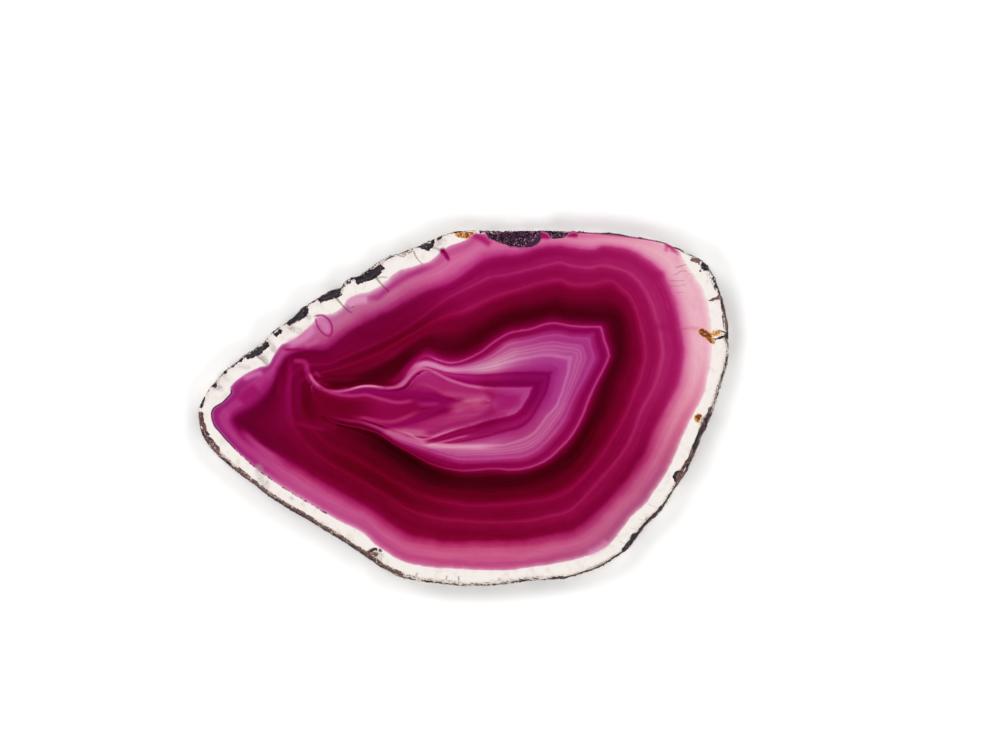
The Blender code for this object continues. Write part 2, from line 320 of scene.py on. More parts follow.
# The agate's growth lines, from the limit of the dye inwards. The rind counts as growth 0
GROWTH_LINES = (
    # Limit of the dye
    Contour((
        (-45, -1.5), (-44.8, 0), (-43.2, 1), (-41.5, 2.7), (-41.6, 3.8), (-40.6, 4.9), (-38.8, 6.2),
        (-36.6, 7.3), (-34.8, 7.8), (-33.8, 9.6), (-32.6, 11.3), (-31.3, 11.8), (-29.2, 13.1),
        (-26.8, 15.5), (-25.6, 16.6), (-23.5, 16.9), (-21.8, 17.9), (-20.6, 19.6), (-18.8, 20.5),
        (-16.8, 20.8), (-14, 22.4), (-12.8, 23.8), (-11, 24.8), (-8.1, 25.6), (-5.8, 26.5), (-3, 28.8),
        (0.3, 30), (2, 31.3), (8.3, 31.6), (13.7, 31.8), (19, 31.7), (24.4, 31.4), (29.7, 30.8),
        (33.3, 30.3), (36, 29.6), (38.6, 28.1), (39.6, 26), (41, 23.9), (42.6, 21.5), (43.6, 18.5),
        (44.1, 15), (44.2, 9.6), (43.8, 6.8), (42.8, 2.5), (41.2, -0.5), (39.8, -3.4), (38.8, -5.6),
        (37.4, -9), (35.7, -12.2), (33.7, -15), (32.4, -17.1), (30.1, -19), (28.4, -21.3), (26.8, -23.3),
        (25, -25), (21.5, -26.5), (17.2, -27.5), (12, -28.3), (8.5, -28.8), (3, -28.8), (-2, -28.5),
        (-6, -28.3), (-10.5, -27.4), (-13.1, -26), (-15.7, -24.3), (-18.4, -21.8), (-21.9, -20.2),
        (-25.7, -18), (-29.1, -16), (-33.6, -13.2), (-37.6, -10.2), (-40.8, -7.2), (-42.8, -5),
        (-44.5, -3.1),
    )),
    # End of the pale selvage
    Contour((
        (-41, -2.1), (-39.4, -0.6), (-37.2, 0.6), (-35.3, 2.3), (-33.7, 5), (-32.8, 7.3), (-31.4, 9.3),
        (-28.4, 10.4), (-24.6, 10.4), (-22.6, 12), (-20.4, 13.7), (-16.7, 15.8), (-13.1, 17.5),
        (-9.6, 19.4), (-6, 21.2), (-2.4, 22.4), (1.2, 24.9), (4.7, 26.9), (10.1, 27.5), (13.6, 28.7),
        (17.2, 29), (22.6, 28.3), (25.3, 29), (29.7, 28.3), (33.3, 26.2), (35.6, 23.8), (37.2, 20.6),
        (38.3, 17.2), (39.2, 12.2), (39.4, 9.6), (38.5, 4.7), (36.9, 1.7), (36, -0.1), (34, -3.8),
        (32.4, -7.8), (29.9, -11.5), (27.1, -14.9), (24, -18.1), (20.4, -21.2), (18.5, -21.9),
        (14.6, -22.7), (10.1, -23.5), (3, -23.6), (-3.3, -23.7), (-6, -23.1), (-9.6, -22.5), (-13.1, -20.4),
        (-16.7, -17.8), (-20.3, -15.8), (-25.6, -12.8), (-29.2, -10.4), (-32.8, -8.3), (-36.3, -6.5),
        (-38.1, -5.6), (-39.6, -4.5),
    )),
    # Outer light line
    Contour((
        (-30.8, 1), (-30.6, 5.5), (-28, 7.5), (-24, 7.8), (-20.5, 9.3), (-14, 12), (-8, 15.5), (-3, 19.4),
        (1.2, 21.5), (4.7, 23.1), (8.3, 23.7), (11.9, 24.6), (15.4, 25.5), (17.2, 25.8), (19, 25.3),
        (22.6, 24.9), (24.4, 25.3), (27.9, 24.6), (29.7, 23.7), (31.6, 21.8), (33.2, 18.8), (34.4, 15),
        (35.2, 11), (35, 8.5), (33.7, 3.7), (32.4, 1.5), (31.5, -0.3), (29.6, -5.3), (28, -8), (25.6, -11),
        (22.6, -14.2), (19, -17.9), (15.4, -18.9), (11.9, -19.7), (6.5, -20.1), (1, -19.8), (-5, -19.2),
        (-10, -17.6), (-15, -14.6), (-20, -11.6), (-25, -8.6), (-28.5, -5.4), (-30.3, -2.2),
    )),
    # Inner light line
    Contour((
        (-29, 0.5), (-29.3, 3.5), (-28.2, 5.4), (-25.6, 6.2), (-21, 7.6), (-15, 10), (-9, 13.4), (-4, 16.2),
        (0, 17.2), (2.9, 18.6), (6.5, 20.1), (10.1, 21.2), (13.7, 22.3), (17.2, 22.8), (19, 22.1),
        (22.6, 21.9), (26.2, 22.8), (28.2, 21.2), (29.9, 19.4), (31.2, 15.8), (32, 12.4), (32.4, 9.6),
        (31.8, 6.6), (30.7, 3.6), (29.2, -0.2), (27.6, -3.4), (26, -6), (24, -9), (20.8, -12.6),
        (18.4, -14.6), (15.4, -16), (11.9, -16.5), (6.5, -17), (1.2, -17.1), (-4, -16.3), (-9, -14.8),
        (-14, -12), (-19, -9), (-24, -6.4), (-27, -3.4),
    )),
    # Dark ring
    Contour((
        (-27.6, 1), (-27.6, 4), (-24.5, 5.6), (-20.5, 5.6), (-16, 6.6), (-12.4, 8.2), (-9, 11),
        (-6.6, 12.4), (-4, 12), (-1, 11.8), (2.9, 14), (6.5, 16.2), (10, 17.3), (13.6, 17.9), (16.5, 18.4),
        (19, 17.8), (24.4, 17.3), (27.6, 16.6), (28.5, 11.5), (27.8, 7.8), (26.4, 5.1), (25.2, 0.6),
        (24, -1.6), (22.4, -4.2), (20, -8.2), (17.4, -10.2), (14, -12), (10, -13.3), (5, -13.9), (0, -13.6),
        (-5, -13), (-9, -10.8), (-13, -8), (-17, -5.4), (-21, -3.8), (-25, -2.6),
    )),
    # Bright line round the eye
    Contour((
        (-27.7, 6.4), (-27, 5), (-25.9, 3.8), (-23.8, 3.2), (-20.6, 3.5), (-17.4, 4.1), (-14.9, 3.8),
        (-12.5, 3.9), (-10.7, 4.8), (-9.4, 6.6), (-8, 8.6), (-6.6, 9.4), (-4.6, 8.6), (-2.4, 8.1),
        (0.2, 8.6), (3, 10), (5, 11.6), (6.5, 12.6), (8.3, 13.5), (10.1, 13.9), (11.9, 14.2), (13.7, 14.8),
        (15.1, 15.2), (16.4, 15.3), (19, 14.8), (21.3, 14.6), (24.2, 14.6), (24.5, 14.5), (24.5, 14.5),
        (25.1, 12.3), (25.6, 11), (26, 9.4), (26, 9.4), (25.6, 8.3), (24.9, 6.8), (24.1, 5.4), (23.3, 3.7),
        (22.5, 2), (20.8, -2.3), (19.6, -4.4), (18.5, -5.8), (17.2, -7.1), (16, -8.3), (14.1, -9.6),
        (11.4, -10.6), (8.8, -10.9), (5, -10.7), (1.9, -11), (-0.1, -11.1), (-2.2, -10.8), (-4, -10.5),
        (-6.5, -9.6), (-9.5, -7.9), (-12.5, -6.2), (-15.2, -4.4), (-18.5, -3.4), (-21.8, -2.8),
        (-24.4, -1.6), (-26.2, 0.4), (-27.2, 2.8),
    )),
    # Start of the pale eye
    Contour((
        (-27.7, 6.1), (-27.05, 4.9), (-25.85, 3.7), (-23.8, 3.1), (-20.6, 3.4), (-17.4, 4), (-14.9, 3.7),
        (-12.5, 3.8), (-10.8, 4.6), (-9.6, 6.3), (-8.2, 7.8), (-6.8, 8.5), (-5, 8.1), (-2.8, 7.5), (0, 7.7),
        (3, 8.7), (5.4, 10), (8, 11.9), (11, 12.5), (14.5, 13.4), (17, 13.7), (19.5, 13.1), (22.8, 13.2),
        (22.8, 13.2), (23.3, 11), (23.8, 9), (23, 7.2), (21.6, 4.6), (19.9, 1.5), (18.3, -2.1),
        (16.9, -4.2), (14.9, -6.4), (12.8, -8.1), (10, -9), (6.5, -9.2), (3, -9.4), (-0.6, -9.4),
        (-2.4, -9), (-4.2, -8.4), (-6, -7.8), (-9.6, -6.6), (-11.3, -6), (-12.8, -5.2), (-14.2, -4.3),
        (-16.2, -3.4), (-18.5, -2.6), (-21.2, -2.2), (-24.6, -1.2), (-26.5, 0.9), (-27.4, 3.4),
    )),
    # Pale stripe
    Contour((
        (-27.5, 5.5), (-26.9, 4.6), (-25.8, 3.55), (-23.8, 2.95), (-20.6, 3.25), (-17.4, 3.85),
        (-14.9, 3.55), (-12.6, 3.65), (-10.9, 4.25), (-9.6, 5.8), (-8.2, 7), (-6.9, 7.6), (-5.3, 7.4),
        (-3.5, 6.95), (-1.5, 6.8), (1.2, 6.9), (4, 7.3), (6.5, 7.9), (10.1, 8.8), (13.7, 9.4), (15.4, 9.5),
        (17.2, 9.2), (19, 9), (19, 9), (18.6, 6.8), (18.1, 4.7), (17.1, 1.6), (16.2, 0), (14.7, -1.5),
        (13.6, -3.1), (12.4, -4.4), (11.2, -5.2), (10.1, -5.6), (7.8, -6.3), (6.5, -6.5), (2.9, -6.5),
        (-0.6, -6.7), (-3.3, -6.7), (-5.1, -6.35), (-6.9, -5.9), (-8.7, -5.6), (-10.4, -5.1), (-12.2, -4.6),
        (-13.5, -4), (-15.8, -3.1), (-18.5, -2.3), (-21.2, -1.9), (-24.4, -1), (-26.3, 1.1), (-27.2, 3.3),
    )),
    # Thin dark line
    Contour((
        (-27.1, 4.6), (-26.6, 3.9), (-25.6, 3.2), (-23.8, 2.7), (-20.6, 2.95), (-17.4, 3.5), (-14.9, 3.3),
        (-12.5, 3.4), (-10.7, 4), (-9.5, 5.5), (-8.1, 6.75), (-6.9, 7.3), (-5.4, 7.1), (-3.8, 6.7),
        (-2.2, 6.4), (2.4, 6.05), (7.8, 6.35), (12, 6.45), (15.4, 6.35), (15.4, 6.35), (15.2, 4.9),
        (14.7, 2.9), (13.8, 1.2), (12.4, -1.2), (11.3, -2.5), (9.7, -3.5), (7.8, -4), (3.3, -5.2),
        (-1.3, -6.1), (-4.7, -6), (-6.9, -5.6), (-8.7, -5.3), (-10.4, -4.85), (-12.2, -4.3), (-14, -3.6),
        (-16.4, -2.7), (-18.6, -2), (-21.2, -1.6), (-24.2, -0.7), (-26, 1.2), (-26.8, 3.1),
    )),
    # Thick dark line
    Contour((
        (-26.5, 3.4), (-25.4, 2.85), (-23.8, 2.45), (-20.6, 2.7), (-17.4, 3.3), (-14.9, 3.1), (-12.4, 3.2),
        (-10.5, 3.8), (-9.4, 5.2), (-8, 6.5), (-6.9, 7), (-5.5, 6.8), (-4, 6.2), (-2.4, 5.6), (0.3, 5.05),
        (3, 4.75), (7.8, 4.7), (13.5, 4.7), (13.5, 4.7), (13.1, 2.9), (12.4, 1.2), (11.5, -0.1),
        (10.8, -0.9), (9, -1.9), (6.5, -2.4), (3.8, -3.1), (1.2, -4), (-1.5, -4.8), (-3.6, -5.5),
        (-5.1, -5.75), (-6.9, -5.4), (-8.7, -5.1), (-10.4, -4.65), (-12.2, -4.1), (-14, -3.4),
        (-16.4, -2.5), (-18.6, -1.8), (-21.2, -1.4), (-24, -0.5), (-25.7, 1.3), (-26.3, 2.7),
    )),
    # Inner bright line
    Contour((
        (-25.9, 2.8), (-25.2, 2.6), (-23.8, 2.25), (-20.6, 2.5), (-17.4, 3.1), (-14.9, 2.9), (-12.3, 3),
        (-10.3, 3.6), (-9.2, 4.9), (-7.9, 6.2), (-6.9, 6.7), (-5.3, 6.4), (-3.5, 5.6), (-1.3, 4.7),
        (1.5, 4.1), (4.4, 3.8), (7.8, 3.75), (11.9, 3.7), (11.9, 3.7), (11.5, 2.2), (10.8, 1.2),
        (10.1, 0.1), (9, -0.9), (6.5, -1.5), (3.8, -2.2), (1.2, -3.1), (-1.5, -3.6), (-3.3, -4.2),
        (-5, -4.9), (-6.9, -5), (-8.7, -4.8), (-10.4, -4.3), (-12.2, -3.8), (-14, -3.2), (-16.4, -2.3),
        (-18.6, -1.6), (-21.2, -1.2), (-23.8, -0.3), (-25.3, 1.3), (-25.8, 2.2),
    )),
    # Violet wedge
    Contour((
        (-25, 2.3), (-23.8, 2), (-20.6, 2.2), (-17.4, 2.85), (-15, 2.6), (-13, 2.5), (-11, 2.5), (-9, 2.6),
        (-7, 2.5), (-5, 2.3), (-3.2, 1.8), (-1.4, 1.2), (0.6, 0.7), (0.6, 0.7), (-2.2, -0.1), (-4.2, -0.7),
        (-6, -1.5), (-7.8, -2.1), (-9.6, -2.6), (-11.4, -3), (-13.2, -3), (-15, -2.6), (-17, -1.9),
        (-19, -1.4), (-21.4, -0.9), (-23.4, -0.1), (-24.7, 1.2),
    )),
    # Violet line
    Contour((
        (-24.2, 1.8), (-22.6, 1.9), (-21, 2), (-19.2, 2.1), (-17.4, 2.35), (-16, 2.3), (-14.8, 1.8),
        (-13.1, 1.35), (-11.4, 1.1), (-9.6, 1.2), (-7.8, 1.2), (-6, 0.9), (-2.6, 0.8), (-2.6, 0.8),
        (-4.6, 0.2), (-6.9, -0.3), (-9.4, -1.2), (-11.4, -1.8), (-13.1, -2.1), (-15, -2.1), (-16.7, -1.8),
        (-18.5, -1.6), (-20.5, -1.2), (-22.6, -0.4), (-24, 0.8),
    )),
    # Core
    Contour((
        (-23.2, 1.1), (-21, 1.4), (-18, 1.4), (-15, 1), (-12, 0.5), (-9, 0.5), (-5, 0.5), (-5, 0.5),
        (-8, -0.4), (-11.4, -0.9), (-14, -1.2), (-17, -1), (-20, -0.6), (-22.5, 0.2),
    )),
)
# How deep the core goes on inside the last growth line, and the least distance that two lines count as having
CORE_DEPTH = 1.2
TOUCHING = 0.05

# As many stops as one colour ramp holds
MOST_STOPS = 32

# The layers of the agate from the rind inwards, each as strongly dyed as the whole stone took it there
BANDS = (
    # The undyed rim, a bright line where the dye starts, and the pale selvage
    Band(0.0, 0.14, 1.4, 1.5), Band(0.22, 0.07, 1.4, 1.6), Band(0.42, 0.03, 1.6, 1.7),
    Band(0.95, 0.03, 1.8, 1.9), Band(1.0, 0.2, 2.4, 3.9), Band(1.07, 0.36, 2.35, 3.9),
    Band(1.15, 0.45, 2.3, 4.1), Band(1.24, 0.45, 2.4, 4.3), Band(1.36, 0.37, 2.6, 4.5),
    Band(1.52, 0.34, 2.7, 4.6), Band(1.7, 0.42, 2.6, 4.5), Band(1.9, 0.63, 2.4, 4.7),
    # The outer rings: magenta and crimson, with light lines between
    Band(1.98, 0.8, 2.3, 4.8), Band(2.06, 1.08, 2.2), Band(2.2, 1.2, 2.2), Band(2.42, 1.27, 2.2),
    Band(2.6, 1.16, 2.2), Band(2.8, 1.1, 2.25), Band(2.92, 0.93, 2.3), Band(3.02, 1.1, 2.25),
    Band(3.14, 1.24, 2.2), Band(3.5, 1.34, 2.2), Band(3.8, 1.24, 2.25), Band(3.92, 1.08, 2.3),
    Band(4.03, 1.2, 2.3), Band(4.2, 1.58, 2.2), Band(4.32, 1.72, 2.2),
    # The dark ring round the eye
    Band(4.6, 1.88, 2.1), Band(4.92, 2.44, 1.95), Band(5.18, 2.66, 1.9), Band(5.4, 2.48, 1.9),
    Band(5.6, 2.0, 1.95), Band(5.76, 1.58, 2.0), Band(5.9, 1.2, 2.05),
    # The bright line round the eye and the magenta band inside it
    Band(5.98, 0.66, 2.1, 4.3), Band(6.06, 0.66, 2.1, 4.4), Band(6.16, 1.0, 2.1, 4.5),
    Band(6.28, 1.12, 2.0), Band(6.46, 1.18, 2.0), Band(6.62, 1.12, 2.0), Band(6.84, 0.92, 1.95, 4.3),
    Band(7.02, 0.82, 1.9, 4.1),
    # The pale band of the eye, finely laminated
    Band(7.12, 0.62, 1.85, 3.9), Band(7.22, 0.7, 1.8, 3.8), Band(7.32, 0.74, 1.8, 3.7),
    Band(7.42, 0.54, 1.85, 3.7), Band(7.5, 0.62, 1.85, 3.6), Band(7.58, 0.49, 1.85, 3.5),
    Band(7.66, 0.58, 1.85, 3.5), Band(7.74, 0.49, 1.8, 3.4), Band(7.82, 0.6, 1.8, 3.4),
    Band(7.9, 0.52, 1.8, 3.4), Band(7.98, 0.42, 1.8, 3.4), Band(8.05, 0.48, 1.8, 3.5),
    Band(8.13, 0.6, 1.8, 3.6), Band(8.4, 0.62, 1.8, 3.7), Band(8.86, 0.76, 1.85, 4.1),
    # The lines of the core: thin and dark, thick and dark, then bright
    Band(8.98, 1.0, 1.9, 4.4), Band(9.08, 1.14, 1.9), Band(9.26, 1.02, 1.9), Band(9.5, 1.01, 1.9),
    Band(9.86, 1.14, 1.9), Band(10.04, 1.28, 1.9, 5.4), Band(10.5, 1.3, 1.85, 5.4), Band(10.84, 1.02, 1.9),
    Band(10.97, 0.66, 2.0), Band(11.06, 0.7, 2.0), Band(11.2, 0.92, 2.0), Band(11.42, 0.77, 2.0),
    Band(11.84, 0.78, 2.0, 4.7), Band(11.98, 0.96, 1.9, 4.7), Band(12.2, 1.04, 1.85),
    Band(12.98, 0.86, 1.85, 4.5), Band(14.0, 1.03, 2.0, 4.6), Band(15.0, 1.08, 2.0, 4.6),
)

# How each side took the dye next to the whole stone, in a few steps from the rind to the eye
UPTAKES = {
    # Pale and warm next to the rind, and more violet in the eye
    Side.ROUND_END: (
        Uptake(0.9, 1.0), Uptake(1.0, 0.25, 1.5, 1.3), Uptake(1.9, 0.5, 1.1), Uptake(2.2, 0.75),
        Uptake(4.6, 0.95), Uptake(8.4, 1.4, 0.85), Uptake(15.0, 0.7),
    ),
    # Much like the whole stone, with the palest part of the eye
    Side.CROWN: (
        Uptake(0.9, 1.0), Uptake(1.0, 1.3, 0.9), Uptake(2.0, 1.0, 0.9), Uptake(4.8, 0.95), Uptake(6.2, 1.2),
        Uptake(8.4, 0.7, 1.0, 0.8), Uptake(9.2, 1.1), Uptake(15.0, 1.4),
    ),
    # A violet selvage, and light lines that hardly show
    Side.SLOPE: (
        Uptake(0.9, 1.0), Uptake(1.0, 1.1, 0.7, 0.7), Uptake(1.5, 1.8, 0.7, 0.7), Uptake(2.4, 1.3, 0.9),
        Uptake(2.9, 1.6, 0.9), Uptake(3.9, 1.4), Uptake(4.4, 0.9), Uptake(15.0, 0.9),
    ),
    # A strong violet selvage, and hardly a dark ring
    Side.POINT: (
        Uptake(0.9, 1.0), Uptake(1.0, 2.5, 0.65, 0.9), Uptake(1.8, 2.1, 0.7, 0.9), Uptake(2.4, 1.4, 0.9),
        Uptake(4.0, 1.3, 0.9), Uptake(5.2, 0.65, 1.1), Uptake(6.0, 2.0), Uptake(15.0, 1.3),
    ),
    # Strong as far as the eye, with light lines that hardly show
    Side.FLANK: (
        Uptake(0.9, 1.0), Uptake(1.0, 1.1, 0.9), Uptake(1.4, 1.7, 0.8, 0.9), Uptake(2.2, 1.3),
        Uptake(2.9, 1.6), Uptake(3.9, 1.6), Uptake(4.4, 1.2), Uptake(5.2, 1.2, 0.9), Uptake(6.0, 2.2),
        Uptake(6.4, 1.2), Uptake(15.0, 1.0),
    ),
    # Slightly stronger all through
    Side.KEEL: (
        Uptake(0.9, 1.0), Uptake(1.0, 1.4, 0.95), Uptake(2.0, 1.3, 1.05), Uptake(5.2, 1.05),
        Uptake(6.0, 1.3), Uptake(7.0, 1.05), Uptake(15.0, 1.4),
    ),
    # A violet selvage, and a darker pale band in the eye
    Side.HEEL: (
        Uptake(0.9, 1.0), Uptake(1.0, 1.8, 0.75, 0.7), Uptake(1.9, 1.5, 0.9, 0.9), Uptake(2.4, 1.1),
        Uptake(7.4, 1.1), Uptake(8.3, 1.4), Uptake(9.3, 1.1), Uptake(15.0, 0.8),
    ),
}

